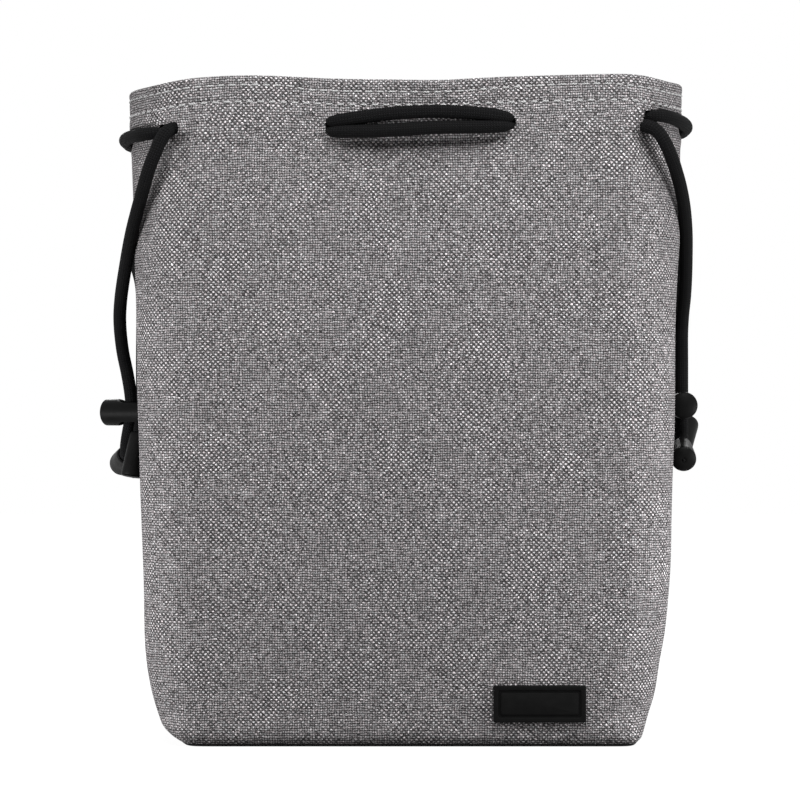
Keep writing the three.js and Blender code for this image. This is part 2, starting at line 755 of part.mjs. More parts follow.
// Where each free end runs once it is out of its slit: hand-laid points down the side, through
// the lock and towards the neck of the cord end
const tails = {
  left_front: {
    side: 'left',
    onFront: true,
    seat: [-114.4, 18.6, 112.6],
    toward: [-117.9, 37.7, 108.2],
    points: [
      [-91.9, -51.3, 242.9], [-93.4, -52.6, 240.6], [-94.9, -53.4, 236.8], [-96.5, -53.6, 232.2],
      [-98.4, -52.8, 227], [-100.4, -50.8, 221.6], [-102.6, -47, 215], [-104.8, -41.8, 208.8],
      [-107.2, -35, 202], [-109.4, -26.8, 195], [-111.4, -18, 188], [-113.2, -10, 181.4],
      [-114.7, -2.5, 174.8], [-115.6, 3.6, 168], [-115.6, 7.6, 161.5], [-114.8, 9.33, 154],
      [-113, 9.33, 145.3], [-111.6, 9.33, 136.6], [-111.2, 9.33, 129.8], [-112.4, 10.2, 123.4],
      [-113.3, 12.1, 119.2], [-113.9, 14.6, 115.6],
    ],
  },
  left_back: {
    side: 'left',
    onFront: false,
    seat: [-107.9, 6.6, 121.6],
    toward: [-110.6, 5.4, 102],
    points: [
      [-91.9, 51.3, 242.9], [-93.4, 52.6, 240.6], [-94.9, 53.4, 236.8], [-96.5, 53.6, 232.2],
      [-98.6, 52.6, 227], [-101, 50, 221.8], [-103.6, 46.2, 216.6], [-106.3, 41, 211.4],
      [-109, 35, 206.6], [-110.8, 28.6, 202.2], [-111.4, 22.6, 197.6], [-111, 17.2, 192.8],
      [-109.2, 13, 188], [-107.6, 10.6, 182.4], [-106.9, 9.6, 175.6], [-106.8, 8.8, 167],
      [-106.8, 8, 158], [-106.8, 7.2, 149], [-106.7, 6.84, 140], [-106.5, 6.84, 129.8],
    ],
  },
  right_front: {
    side: 'right',
    onFront: true,
    seat: [111.5, 0.6, 116.4],
    toward: [110.5, -17.5, 111.1],
    points: [
      [94.2, -51.7, 240.6], [96.8, -53, 239], [99.2, -53.4, 236], [101.3, -52.4, 232.2],
      [103.2, -50, 228.2], [105, -46.4, 223.8], [106.9, -41.6, 218.8], [108.6, -35.8, 213.4],
      [110, -29, 207.4], [111.1, -21.6, 200.4], [111.8, -13.8, 192.6], [112.3, -6, 184],
      [112.4, 0.6, 176], [112.1, 5.6, 169], [111.9, 7.5, 162], [111.9, 7.5, 149], [111.9, 7.5, 137],
      [111.9, 7.5, 125.5], [111.8, 6.6, 121.4], [111.7, 4.2, 118.2],
    ],
  },
  right_back: {
    side: 'right',
    onFront: false,
    seat: [114, 28.8, 113.9],
    toward: [117.2, 44.4, 125.9],
    points: [
      [94.2, 51.7, 240.6], [96.8, 53, 239], [99, 53.6, 235.8], [101, 52.9, 232],
      [103, 50.8, 227.8], [105, 47.4, 223], [106.8, 43.8, 218.4], [108.4, 39.8, 213.2],
      [110, 35.2, 207.4], [111.2, 30.4, 200.4], [111.9, 25.6, 192.6], [112.3, 20.6, 184],
      [112.4, 16.6, 176], [112.2, 13.8, 169], [111.9, 12.8, 162], [111.9, 12.8, 149],
      [111.9, 12.8, 137], [111.9, 12.8, 124.5], [112.1, 13.4, 118.2], [112.5, 15.7, 114.5],
      [113, 19.4, 112.2], [113.5, 23.7, 111.7],
    ],
  },
};

// Each lock stands on its pair of cords: the place of its slot's middle, and its heading
const locks = {
  left: { middle: [-108.85, 8.08, 129.8], heading: -28 },
  right: { middle: [111.9, 10.15, 132.6], heading: 90 },
};

const pouch = new THREE.Group();

function addMesh(name, geometry, finish, parent = pouch) {
  const mesh = new THREE.Mesh(geometry, new THREE.MeshStandardMaterial(finishes[finish]));
  mesh.name = name;
  parent.add(mesh);
  return mesh;
}

// Bag
addMesh('outer_front_panel', outerPanel(-1), 'cloth');
addMesh('outer_back_panel', outerPanel(1), 'cloth');
addMesh('outer_right_gusset', outerGusset(2), 'cloth');
addMesh('outer_left_gusset', outerGusset(4), 'cloth');
addMesh('outer_base_panel', floorPlate(0, baseClothThickness, foamInset), 'cloth');

const padEdge = (gussetShare + frontShare) / 2;
const padHalfJoint = (padJoint / 2) / (2 * rimHalfDepth);
const frontPad = [padEdge + padHalfJoint, 2 - padEdge - padHalfJoint];
const sidePad = padEdge - padHalfJoint;
addMesh('foam_front_pad', foamPad(frontPad[0], frontPad[1]), 'foam');
addMesh('foam_back_pad', foamPad(frontPad[0] + 2, frontPad[1] + 2), 'foam');
addMesh('foam_right_front_pad', foamPad(2 - sidePad, 2, -1), 'foam');
addMesh('foam_right_back_pad', foamPad(2, 2 + sidePad, 1), 'foam');
addMesh('foam_left_back_pad', foamPad(4 - sidePad, 4, 1), 'foam');
addMesh('foam_left_front_pad', foamPad(4, 4 + sidePad, -1), 'foam');
addMesh('foam_base_pad', floorPlate(foamFloor, baseFoamThickness, foamInset), 'foam');

addMesh('lining_front', liningPanel(-1), 'lining');
addMesh('lining_back', liningPanel(1), 'lining');
addMesh('lining_base', floorPlate(liningFloor, liningThickness, liningInset + liningThickness + layerGap), 'lining');

// Patch, flat against the front
const patch = addMesh('label_patch', patchSolid(), 'patch');
const patchFace = outlineAt(patchCentreZ + patchHeight / 2);
patch.position.set(patchCentreX, -(patchFace.depth + patchFace.bow + layerGap / 2), patchCentreZ);

// Held runs of the two cords
function addRun(name, start, end, spans, level, archedSpan) {
  const arcs = runArcs(start, end, spans);
  const points = arcs.map((arc) => runPoint(arc, spans, level, archedSpan));
  addMesh(name, tube(points, cordRadius, cordSides), 'cord');
}

const { innerLeft, innerRight, outerLeft, outerRight } = strandArcs;
const leftSpans = [
  [innerLeft[0], innerRight[0], spanBulge],
  [outerRight[0], outerRight[1], 0],
  [innerRight[1], innerLeft[1], spanBulge],
];
addRun('left_drawcord_run', runEnds.left[0], runEnds.left[1], leftSpans, 1, leftSpans[0]);

const rightSpans = [
  [innerRight[1], innerLeft[1], spanBulge],
  [outerLeft[1], outerLeft[0] + mouthLength, 0],
  [innerLeft[0] + mouthLength, innerRight[0] + mouthLength, spanBulge],
];
addRun('right_drawcord_run', runEnds.right[1], runEnds.right[0] + mouthLength, rightSpans, -1, null);

// The first stretch of a free end: from the channel to the middle of the cloth
function tailInside(side, onFront) {
  const index = onFront ? 0 : 1;
  const from = tailStarts[side][index];
  const out = tailArcs[side][index];
  const way = Math.sign(out - from);
  const level = side === 'left' ? 1 : -1;
  const stops = [from, (from + out - way * weaveHalf) / 2, ...evenly(out - way * weaveHalf, out, 3)];
  return stops.map((arc) => {
    const place = mouthPoint(arc, weave(-Math.abs(out - arc)) - cordInset);
    return new THREE.Vector3(place.x, place.y, cordLevel + cordTilt * place.x + level * (cordPitch / 2));
  });
}

// Free ends, each knotted inside its bell
for (const [name, tail] of Object.entries(tails)) {
  const seat = new THREE.Vector3(...tail.seat);
  const axis = new THREE.Vector3(...tail.toward).sub(seat).normalize();
  const ending = [-2.4, 0, 4.2, 8.4].map((along) => seat.clone().addScaledVector(axis, along));
  const hanging = tail.points.map((point) => new THREE.Vector3(...point));
  const route = [...tailInside(tail.side, tail.onFront), ...hanging, ...ending];
  const centre = seat.clone().addScaledVector(axis, knotDistance);
  const knot = new THREE.IcosahedronGeometry(knotRadius).translate(centre.x, centre.y, centre.z);
  const cord = toSolid(tube(route, cordRadius, cordSides)).add(toSolid(knot));
  addMesh(`${name}_tail`, toGeometry(cord), 'cord');

  const end = new THREE.Group();
  end.position.copy(seat);
  end.quaternion.setFromUnitVectors(new THREE.Vector3(1, 0, 0), axis);
  addMesh(`${name}_cord_end`, bell(), 'plastic', end);
  addMesh(`${name}_cord_end_lid`, bellLid(), 'plastic', end);
  pouch.add(end);
}

// Barrel locks
for (const [side, place] of Object.entries(locks)) {
  const lock = new THREE.Group();
  const heading = degToRad(place.heading);
  const axis = new THREE.Vector3(Math.cos(heading), Math.sin(heading), 0);
  lock.position.set(...place.middle).addScaledVector(axis, -lockAxisMiddle);
  lock.rotation.z = heading;
  addMesh(`${side}_lock_housing`, lockHousing(), 'plastic', lock);
  addMesh(`${side}_lock_button`, lockButton(), 'plastic', lock);
  addMesh(`${side}_lock_spring`, lockSpring(), 'steel', lock);
  pouch.add(lock);
}

export default pouch;
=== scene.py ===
# Drawstring camera pouch: what is seen of it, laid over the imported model.
# The shape functions work in millimetres, like the part's source. Meshes are made in metres.
import math

import bmesh
import bpy
import numpy as np
from mathutils import Matrix, Vector


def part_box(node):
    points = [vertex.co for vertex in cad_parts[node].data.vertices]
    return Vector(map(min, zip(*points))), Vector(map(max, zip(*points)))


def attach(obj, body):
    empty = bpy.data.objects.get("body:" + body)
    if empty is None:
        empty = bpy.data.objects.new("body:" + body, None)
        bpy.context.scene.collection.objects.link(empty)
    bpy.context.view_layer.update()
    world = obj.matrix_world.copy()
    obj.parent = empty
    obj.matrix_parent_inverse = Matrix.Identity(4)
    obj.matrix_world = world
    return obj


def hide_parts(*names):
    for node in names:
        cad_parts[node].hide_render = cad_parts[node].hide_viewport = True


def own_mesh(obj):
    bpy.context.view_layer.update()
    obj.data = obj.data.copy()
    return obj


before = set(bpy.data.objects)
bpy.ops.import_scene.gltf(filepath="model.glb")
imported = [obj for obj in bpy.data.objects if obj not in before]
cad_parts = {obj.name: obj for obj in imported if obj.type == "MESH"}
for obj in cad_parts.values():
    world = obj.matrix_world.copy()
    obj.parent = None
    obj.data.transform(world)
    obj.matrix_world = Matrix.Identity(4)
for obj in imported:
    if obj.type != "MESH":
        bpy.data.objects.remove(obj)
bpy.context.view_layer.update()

MM = 0.001


def add_object(name, data):
    made = bpy.data.objects.new(name, data)
    bpy.context.collection.objects.link(made)
    return made


# Camera, at the photograph's viewing angle
LENS = 145.35
SENSOR_WIDTH = 36
CAMERA_PLACE = (-0.00233, -1.302, 0.1348)
camera_data = bpy.data.cameras.new("camera")
camera_data.lens = LENS
camera_data.sensor_width = SENSOR_WIDTH
camera = add_object("camera", camera_data)
camera.location = CAMERA_PLACE
camera.rotation_euler = (math.radians(90), 0, 0)
bpy.context.scene.camera = camera

# Bag shape, as in the part's source
RIM_HEIGHT = 260
BASE_HALF_WIDTH = 101.5
RIM_HALF_WIDTH = 110.9
WALL_SAG = 0.6
BASE_HALF_DEPTH = 49
RIM_HALF_DEPTH = 52
# How the foot draws in, sideways and in depth: reach, height and how much is cut off below
FOOT_X = (15, 45, 2)
FOOT_Y = (6, 9, 1.5)
BASE_CORNER_WIDTH = 20
RIM_CORNER_WIDTH = 30
BODY_CORNER_DEPTH = 21
RIM_CORNER_DEPTH = 47
CORNER_OPENS_FROM = 120
GUSSET_HOLLOW = 13.5
# Heights at which the hollow starts, is full, is full still, and ends
HOLLOW_LEVELS = (12, 60, 180, 236)
FRONT_BOW = 2.5
# Shares of a quarter of the outline at which the gusset ends and the front begins
GUSSET_SHARE = 0.25
FRONT_SHARE = 0.6
FOOT_SQUARE = 0.6
FOOT_CORNER_UP_TO = 14
FOOT_CORNER_PUSH = 0.8
FOOT_ROLL = 1.2
FOOT_ROLL_UP_TO = 4.5
LEFT_FOOT_PULL = 3.7
LEFT_FOOT_PULL_UP_TO = 8
# How the right side leans out (+) and in (-): (how far, at what height, over what height)
RIGHT_LEAN = ((-1.75, 10, 11), (-2.1, 30, 13), (0.9, 70, 18), (0.3, 120, 40), (1, 206, 16))

# Layers
CLOTH = 1
LAYER_GAP = 0.3
FOAM = 5
BASE_CLOTH = 1.2
FOAM_INSET = CLOTH + LAYER_GAP
LINING_INSET = 6.9
LINING = 1
LINING_FLOOR = 6.8
PAD_TOP = 235.4
CHANNEL_TOP = 249.1
HEM_BOTTOM = 250.4

# Cords
CORD_RADIUS = 2.5
CORD_SEEN_RADIUS = 2.62
CORD_LEVEL = 242.3
CORD_TILT = 0.0122
CORD_PITCH = 5.3
CORD_INSET = 3.95
CORD_STAND_OFF = 3.1
WEAVE_RADIUS = 11.2
SPAN_BULGE = 2.2
SPAN_MIDDLE = 5.5
SPAN_ENDS = (42, 56)
ROUTE_STEP = 1.2
ROUTE_SMOOTHING = 6
SLIT_EDGE = -2.5
PRESSED = 0.36
PRESSED_LENGTH = 4
SIDE_PRESS = 1.1
SIDE_CURVE = 0.8
SIDE_DROOP = {"left": 2.9, "right": 0}
# Heights of the two strands across the front, upper and lower: (x, z)
UPPER_STRAND = ((-34, 241.9), (-29, 242.4), (-20, 243.6), (-10, 244.9), (0, 245.7), (12, 246.1), (24, 245.7),
                (34, 244.9), (40, 243.9), (46, 243.4))
LOWER_STRAND = ((-34, 238.8), (-29, 238.5), (-12, 238.5), (0, 239.1), (12, 239.9), (30, 240.2), (38, 240.7),
                (46, 240.9))
# Where the cords end, cross the cloth and stand, by their x
RUN_END_X = {"left": -76.2, "right": 78.2}
TAIL_START_X = {"left": -76.9, "right": 79.1}
STRAND_X = {"outer_left": -96.2, "inner_left": -29.4, "inner_right": 40, "outer_right": 94.4}
TAIL_X = {"left": -87.9, "right": 91.4}
TAIL_DROP = {"left": 3.4, "right": -0.5}


def lerp(a, b, t):
    return a + (b - a) * t


def smoothstep(value, low, high):
    t = np.clip((value - low) / (high - low), 0, 1)
    return t * t * (3 - 2 * t)


def running_length(points):
    return np.concatenate([[0], np.cumsum(np.linalg.norm(np.diff(points, axis=0), axis=1))])


def foot_inset(z, reach, height, cut):
    fall = 1 - np.clip((z + cut) / height, 0, 1)
    return reach * (1 - np.sqrt(1 - fall**2))


# Sum of soft bumps, each given as (height, middle, width)
def humps(value, bumps):
    return sum(height * np.exp(-(((value - middle) / width) ** 2)) for height, middle, width in bumps)


# A place on the outside of the cloth. The outline runs from the left gusset (0) past the
# front (1), the right gusset (2) and the back (3) to the left gusset again (4)
def outline(u, z):
    u = np.asarray(u, dtype=float)
    z = np.asarray(z, dtype=float)
    t = z / RIM_HEIGHT
    sag = WALL_SAG * np.sin(np.pi * t)
    width = lerp(BASE_HALF_WIDTH, RIM_HALF_WIDTH, t) - sag - foot_inset(z, *FOOT_X)
    depth = lerp(BASE_HALF_DEPTH, RIM_HALF_DEPTH, t) - foot_inset(z, *FOOT_Y)
    opening = smoothstep(z, CORNER_OPENS_FROM, RIM_HEIGHT)
    corner_x = width - lerp(BASE_CORNER_WIDTH, RIM_CORNER_WIDTH, t)
    corner_y = depth - lerp(BODY_CORNER_DEPTH, RIM_CORNER_DEPTH, opening)
    low, full, full_to, top = HOLLOW_LEVELS
    hollow = GUSSET_HOLLOW * smoothstep(z, low, full) * (1 - smoothstep(z, full_to, top))
    bow = FRONT_BOW * np.sin(np.pi * np.clip(t, 0, 1))

    quarter = np.floor(u) % 4
    along = u - np.floor(u)
    q = np.where(quarter % 2 == 0, along, 1 - along)
    g = np.clip(q / GUSSET_SHARE, 0, 1)
    angle = np.clip((q - GUSSET_SHARE) / (FRONT_SHARE - GUSSET_SHARE), 0, 1) * np.pi / 2
    f = np.clip((1 - q) / (1 - FRONT_SHARE), 0, 1)
    on_gusset = q <= GUSSET_SHARE
    on_corner = q <= FRONT_SHARE
    on_left = (quarter == 0) | (quarter == 3)
    low_down = 1 - smoothstep(z, 0, FOOT_CORNER_UP_TO)
    square = 1 - FOOT_SQUARE * low_down
    push = np.where(on_left, 0, FOOT_CORNER_PUSH) * low_down * np.sin(2 * angle) ** 2
    corner_far_x = lerp(corner_x, width, np.clip(np.cos(angle), 0, 1) ** square) + push * np.cos(angle)
    corner = (corner_far_x, lerp(corner_y, depth, np.sin(angle) ** square) + push * np.sin(angle))
    gusset = (width - hollow * (1 - g * g * (3 - 2 * g)), corner_y * g)
    front = (corner_x * f, depth + bow * (1 - f * f) ** 2)
    x = np.where(on_gusset, gusset[0], np.where(on_corner, corner[0], front[0]))
    y = np.where(on_gusset, gusset[1], np.where(on_corner, corner[1], front[1]))
    outward = np.clip(x / width, 0, 1) ** 3
    left_x = x - LEFT_FOOT_PULL * (1 - smoothstep(z, 0, LEFT_FOOT_PULL_UP_TO)) * outward
    right_x = x + humps(z, RIGHT_LEAN) * outward
    return np.where(on_left, -left_x, right_x), np.where(quarter < 2, -y, y)


def outline_normal(u, z):
    step = 2e-3
    ahead = outline(np.asarray(u) + step, z)
    behind = outline(np.asarray(u) - step + 4, z)
    nx = ahead[1] - behind[1]
    ny = behind[0] - ahead[0]
    size = np.hypot(nx, ny)
    return nx / size, ny / size


# Arc lengths round the mouth at the height of the cords
MOUTH_U = np.linspace(0, 4, 8001)
MOUTH_X, MOUTH_Y = outline(MOUTH_U, CORD_LEVEL)
MOUTH_ARC = running_length(np.stack([MOUTH_X, MOUTH_Y], axis=1))
MOUTH_LENGTH = MOUTH_ARC[-1]


def mouth_u(arc):
    return np.interp(np.mod(arc, MOUTH_LENGTH), MOUTH_ARC, MOUTH_U)


def arc_of(u):
    turns = np.floor(np.asarray(u) / 4)
    return np.interp(np.asarray(u) - 4 * turns, MOUTH_U, MOUTH_ARC) + turns * MOUTH_LENGTH


def mouth_arc(x, on_front):
    side = MOUTH_Y < 0 if on_front else MOUTH_Y > 0
    return MOUTH_ARC[np.argmin(np.where(side, np.abs(MOUTH_X - x), 1e9))]


def crossings(places):
    return {name: (mouth_arc(x, True), mouth_arc(x, False)) for name, x in places.items()}


STRANDS = crossings(STRAND_X)
TAIL_CROSSINGS = crossings(TAIL_X)
RUN_ENDS = crossings(RUN_END_X)
TAIL_STARTS = crossings(TAIL_START_X)

# A cord crosses the cloth on two equal arcs that turn opposite ways
WEAVE_SHIFT = CORD_INSET + CORD_STAND_OFF
WEAVE_HALF = math.sqrt(WEAVE_RADIUS**2 - (WEAVE_RADIUS - WEAVE_SHIFT / 2) ** 2)


def weave(distance):
    reach = WEAVE_HALF - np.minimum(np.abs(distance), WEAVE_HALF)
    rise = WEAVE_RADIUS - np.sqrt(WEAVE_RADIUS**2 - reach**2)
    return np.where(distance < 0, rise, WEAVE_SHIFT - rise)


def mouth_point(arc, offset):
    u = mouth_u(arc)
    x, y = outline(u, CORD_LEVEL)
    nx, ny = outline_normal(u, CORD_LEVEL)
    return x + nx * offset, y + ny * offset


def cord_height(x, level):
    return CORD_LEVEL + CORD_TILT * x + level * CORD_PITCH / 2


# The held run of a cord, with the spans in which it lies outside the cloth. In a slit two
# strands are pressed together, which makes each one flatter
def run_route(start, end, spans, level, side):
    arc = np.linspace(start, end, int((end - start) / ROUTE_STEP))
    offset = np.full_like(arc, -CORD_INSET)
    squeeze = np.zeros_like(arc)
    sag = np.zeros_like(arc)
    for out, back, bulge in spans:
        along = np.clip((arc - out) / (back - out), 0, 1)
        in_span = weave(arc - out) + weave(back - arc) - WEAVE_SHIFT
        offset += in_span + bulge * np.sin(np.pi * along) ** 2
        for slit in (out + SLIT_EDGE, back - SLIT_EDGE):
            squeeze = np.maximum(squeeze, humps(arc, [(1, slit, PRESSED_LENGTH)]))
        if bulge == 0:
            hang = np.sin(np.pi * along) ** SIDE_CURVE
            sag += SIDE_DROOP[side] * hang
            offset -= SIDE_PRESS * hang
    x, y = mouth_point(arc, offset)
    z = cord_height(x, level * (1 - PRESSED * squeeze)) - sag
    laid = np.array(UPPER_STRAND if level > 0 else LOWER_STRAND)
    across_front = (1 - smoothstep(np.abs(x - SPAN_MIDDLE), *SPAN_ENDS)) * (y < 0)
    z = lerp(z, np.interp(x, laid[:, 0], laid[:, 1]), across_front)
    for _ in range(ROUTE_SMOOTHING):
        z[1:-1] = (z[:-2] + 2 * z[1:-1] + z[2:]) / 4
    return np.stack([x, y, z], axis=1), 1 - PRESSED * squeeze


# The first stretch of a free end: from the channel to the middle of the cloth
def tail_inside(side, on_front):
    index = 0 if on_front else 1
    start = TAIL_STARTS[side][index]
    out = TAIL_CROSSINGS[side][index]
    way = np.sign(out - start)
    level = 1 if side == "left" else -1
    stops = [start, (start + out - way * WEAVE_HALF) / 2]
    stops += list(np.linspace(out - way * WEAVE_HALF, out, 4))
    arc = np.array(stops)
    x, y = mouth_point(arc, weave(-np.abs(out - arc)) - CORD_INSET)
    lower = TAIL_DROP[side] * (1 - smoothstep(np.abs(out - arc), 0, 9))
    return np.stack([x, y, cord_height(x, level) - lower], axis=1)


# Points of the free ends, as in the part's source, each with the seat of its bell
# and a place that the bell points at
TAILS = {
    "left_front": ((-114.4, 18.6, 112.6), (-117.9, 37.7, 108.2), [
        (-90.4, -50.4, 240), (-93, -52.3, 238.1), (-94.9, -53.3, 235.1), (-96.4, -53.6, 231.6),
        (-98.4, -52.8, 227), (-100.4, -50.8, 221.6), (-102.6, -47, 215), (-104.8, -41.8, 208.8),
        (-107.2, -35, 202), (-109.4, -26.8, 195), (-111.4, -18, 188), (-113.2, -10, 181.4),
        (-114.7, -2.5, 174.8), (-115.6, 3.6, 168), (-115.6, 7.6, 161.5), (-114.8, 9.33, 154),
        (-113, 9.33, 145.3), (-111.6, 9.33, 136.6), (-111.2, 9.33, 129.8), (-112.4, 10.2, 123.4),
        (-113.3, 12.1, 119.2), (-113.9, 14.6, 115.6),
    ]),
    "left_back": ((-107.9, 6.6, 121.6), (-110.6, 5.4, 102), [
        (-90.4, 50.4, 240), (-93, 52.3, 238.1), (-94.9, 53.3, 235.1), (-96.4, 53.6, 231.6),
        (-98.6, 52.6, 227), (-101, 50, 221.8), (-103.6, 46.2, 216.6), (-106.3, 41, 211.4),
        (-109, 35, 206.6), (-110.8, 28.6, 202.2), (-111.4, 22.6, 197.6), (-111, 17.2, 192.8),
        (-109.2, 13, 188), (-107.6, 10.6, 182.4), (-106.9, 9.6, 175.6), (-106.8, 8.8, 167),
        (-106.8, 8, 158), (-106.8, 7.2, 149), (-106.7, 6.84, 140), (-106.5, 6.84, 129.8),
    ]),
    "right_front": ((111.5, 0.6, 116.4), (110.5, -17.5, 111.1), [
        (94.2, -51.7, 240.6), (96.8, -53, 239), (99.2, -53.4, 236), (101.3, -52.4, 232.2),
        (103.2, -50, 228.2), (105, -46.4, 223.8), (106.9, -41.6, 218.8), (108.6, -35.8, 213.4),
        (110, -29, 207.4), (111.1, -21.6, 200.4), (111.8, -13.8, 192.6), (112.3, -6, 184),
        (112.4, 0.6, 176), (112.1, 5.6, 169), (111.9, 7.5, 162), (111.9, 7.5, 149), (111.9, 7.5, 137),
        (111.9, 7.5, 125.5), (111.8, 6.6, 121.4), (111.7, 4.2, 118.2),
    ]),
    "right_back": ((114, 28.8, 113.9), (117.2, 44.4, 125.9), [
        (94.2, 51.7, 240.6), (96.8, 53, 239), (99, 53.6, 235.8), (101, 52.9, 232), (103, 50.8, 227.8),
        (105, 47.4, 223), (106.8, 43.8, 218.4), (108.4, 39.8, 213.2), (110, 35.2, 207.4),
        (111.2, 30.4, 200.4), (111.9, 25.6, 192.6), (112.3, 20.6, 184), (112.4, 16.6, 176),
        (112.2, 13.8, 169), (111.9, 12.8, 162), (111.9, 12.8, 149), (111.9, 12.8, 137),
        (111.9, 12.8, 124.5), (112.1, 13.4, 118.2), (112.5, 15.7, 114.5), (113, 19.4, 112.2),
        (113.5, 23.7, 111.7),
    ]),
}


# Meshes from arrays of points in millimetres, with a thread map whose unit is a millimetre
def make_object(name, points, faces, face_uvs=None):
    mesh = bpy.data.meshes.new(name)
    mesh.from_pydata((np.asarray(points) * MM).tolist(), [], [tuple(face) for face in faces])
    if face_uvs is not None:
        layer = mesh.uv_layers.new(name="thread")
        layer.data.foreach_set("uv", np.asarray(face_uvs, dtype=np.float32).ravel())
    mesh.polygons.foreach_set("use_smooth", [True] * len(mesh.polygons))
    mesh.validate()
    mesh.update()
    return add_object(name, mesh)


# Faces between neighbouring points of a grid. A closed grid joins its last column to its first,
# and in a looped one each column is a ring
def grid_faces(columns, rows, closed=False, looped=False, skip=None):
    faces = []
    for i in range(columns if closed else columns - 1):
        for j in range(rows if looped else rows - 1):
            if skip is None or not skip[i, j]:
                k = (i + 1) % columns
                m = (j + 1) % rows
                faces.append((i * rows + j, k * rows + j, k * rows + m, i * rows + m))
    return faces


def end_caps(count, sides):
    return [tuple(range(sides - 1, -1, -1)), tuple((count - 1) * sides + j for j in range(sides))]


# Faces of a stack of rings that run anticlockwise when seen from its end
def stack_faces(count, sides, capped=True):
    faces = [(a, d, c, b) for a, b, c, d in grid_faces(count, sides, looped=True)]
    return faces + end_caps(count, sides) if capped else faces


# Thread map of such a stack: first along it, then round it
def stack_uvs(lengths, sides, step, capped=True):
    uvs = []
    for low, high in zip(lengths[:-1], lengths[1:]):
        for j in range(sides):
            uvs += [(low, j * step), (low, (j + 1) * step), (high, (j + 1) * step), (high, j * step)]
    return uvs + [(0, 0)] * (2 * sides) if capped else uvs


# Smooth curve through points that lie at uneven distances
def spline(points, per_segment):
    points = [Vector(p) for p in points]
    padded = [2 * points[0] - points[1], *points, 2 * points[-1] - points[-2]]
    result = []
    for i in range(len(points) - 1):
        p0, p1, p2, p3 = padded[i : i + 4]
        d0, d1, d2 = [max(math.sqrt((b - a).length), 1e-4) for a, b in ((p0, p1), (p1, p2), (p2, p3))]
        m1 = ((p1 - p0) / d0 - (p2 - p0) / (d0 + d1) + (p2 - p1) / d1) * d1
        m2 = ((p2 - p1) / d1 - (p3 - p1) / (d1 + d2) + (p3 - p2) / d2) * d1
        for k in range(per_segment):
            t = k / per_segment
            a = 2 * t**3 - 3 * t**2 + 1
            b = t**3 - 2 * t**2 + t
            c = -2 * t**3 + 3 * t**2
            d = t**3 - t**2
            result.append(a * p1 + b * m1 + c * p2 + d * m2)
    result.append(points[-1])
    return np.array([list(p) for p in result])


# Round cord along points. Where flat is below 1 it is lower than it is wide
def tube(name, points, radius, sides=18, capped=True, flat=None):
    points = np.asarray(points, dtype=float)
    flat = np.ones(len(points)) if flat is None else flat
    tangents = np.gradient(points, axis=0)
    tangents /= np.linalg.norm(tangents, axis=1)[:, None]
    side = np.cross(tangents[0], [0.3, 0.2, 1.0])
    rings = []
    angles = np.linspace(0, 2 * np.pi, sides, endpoint=False)
    for point, tangent, low in zip(points, tangents, flat):
        side = side - tangent * np.dot(side, tangent)
        side /= np.linalg.norm(side)
        other = np.cross(tangent, side)
        ring = radius * (np.outer(np.cos(angles), side) + np.outer(np.sin(angles), other))
        rings.append(point + ring * [1, 1, low])
    faces = stack_faces(len(points), sides, capped)
    uvs = stack_uvs(running_length(points), sides, 2 * math.pi * radius / sides, capped)
    return make_object(name, np.concatenate(rings), faces, uvs)


# A profile turned about X, given as places along the axis and radii
def lathe(name, profile, segments):
    profile = np.array(profile, dtype=float)
    angles = np.linspace(0, 2 * np.pi, segments, endpoint=False)
    vertices = [(along, r * math.cos(a), r * math.sin(a)) for a in angles for along, r in profile]
    faces = grid_faces(segments, len(profile), closed=True)
    piece = make_object(name, vertices, faces)
    mesh = bmesh.new()
    mesh.from_mesh(piece.data)
    bmesh.ops.remove_doubles(mesh, verts=mesh.verts, dist=1e-7)
    bmesh.ops.dissolve_degenerate(mesh, edges=mesh.edges, dist=1e-7)
    bmesh.ops.recalc_face_normals(mesh, faces=mesh.faces)
    mesh.to_mesh(piece.data)
    mesh.free()
    return piece


def bake_modifiers(piece):
    bpy.context.view_layer.update()
    evaluated = piece.evaluated_get(bpy.context.evaluated_depsgraph_get())
    mesh = bpy.data.meshes.new_from_object(evaluated)
    piece.modifiers.clear()
    piece.data = mesh
    return piece


def shade_by_angle(piece, degrees):
    mesh = piece.data
    mesh.polygons.foreach_set("use_smooth", [True] * len(mesh.polygons))
    mesh.set_sharp_from_angle(angle=math.radians(degrees))


# Shader nodes, a few short helpers
class Nodes:
    def __init__(self, tree):
        self.tree = tree

    def feed(self, socket, value):
        if isinstance(value, bpy.types.NodeSocket):
            self.tree.links.new(value, socket)
        else:
            socket.default_value = value

    # A new node, with its inputs fed in their order
    def node(self, kind, *values, **settings):
        made = self.tree.nodes.new(kind)
        for key, value in settings.items():
            setattr(made, key, value)
        for socket, value in zip(made.inputs, values):
            self.feed(socket, value)
        return made

    def math(self, operation, *values):
        return self.node("ShaderNodeMath", *values, operation=operation).outputs[0]

    def remap(self, value, low, high, to_low=0.0, to_high=1.0, smooth=True):
        kind = "SMOOTHSTEP" if smooth else "LINEAR"
        made = self.node("ShaderNodeMapRange", value, low, high, to_low, to_high, interpolation_type=kind)
        return made.outputs[0]

    # 1 for a camera, glossy or transmission ray, 0 for the others
    def looked_at(self):
        rays = self.node("ShaderNodeLightPath").outputs
        mirrored = self.math("MAXIMUM", rays["Is Glossy Ray"], rays["Is Transmission Ray"])
        return self.math("MAXIMUM", rays["Is Camera Ray"], mirrored)


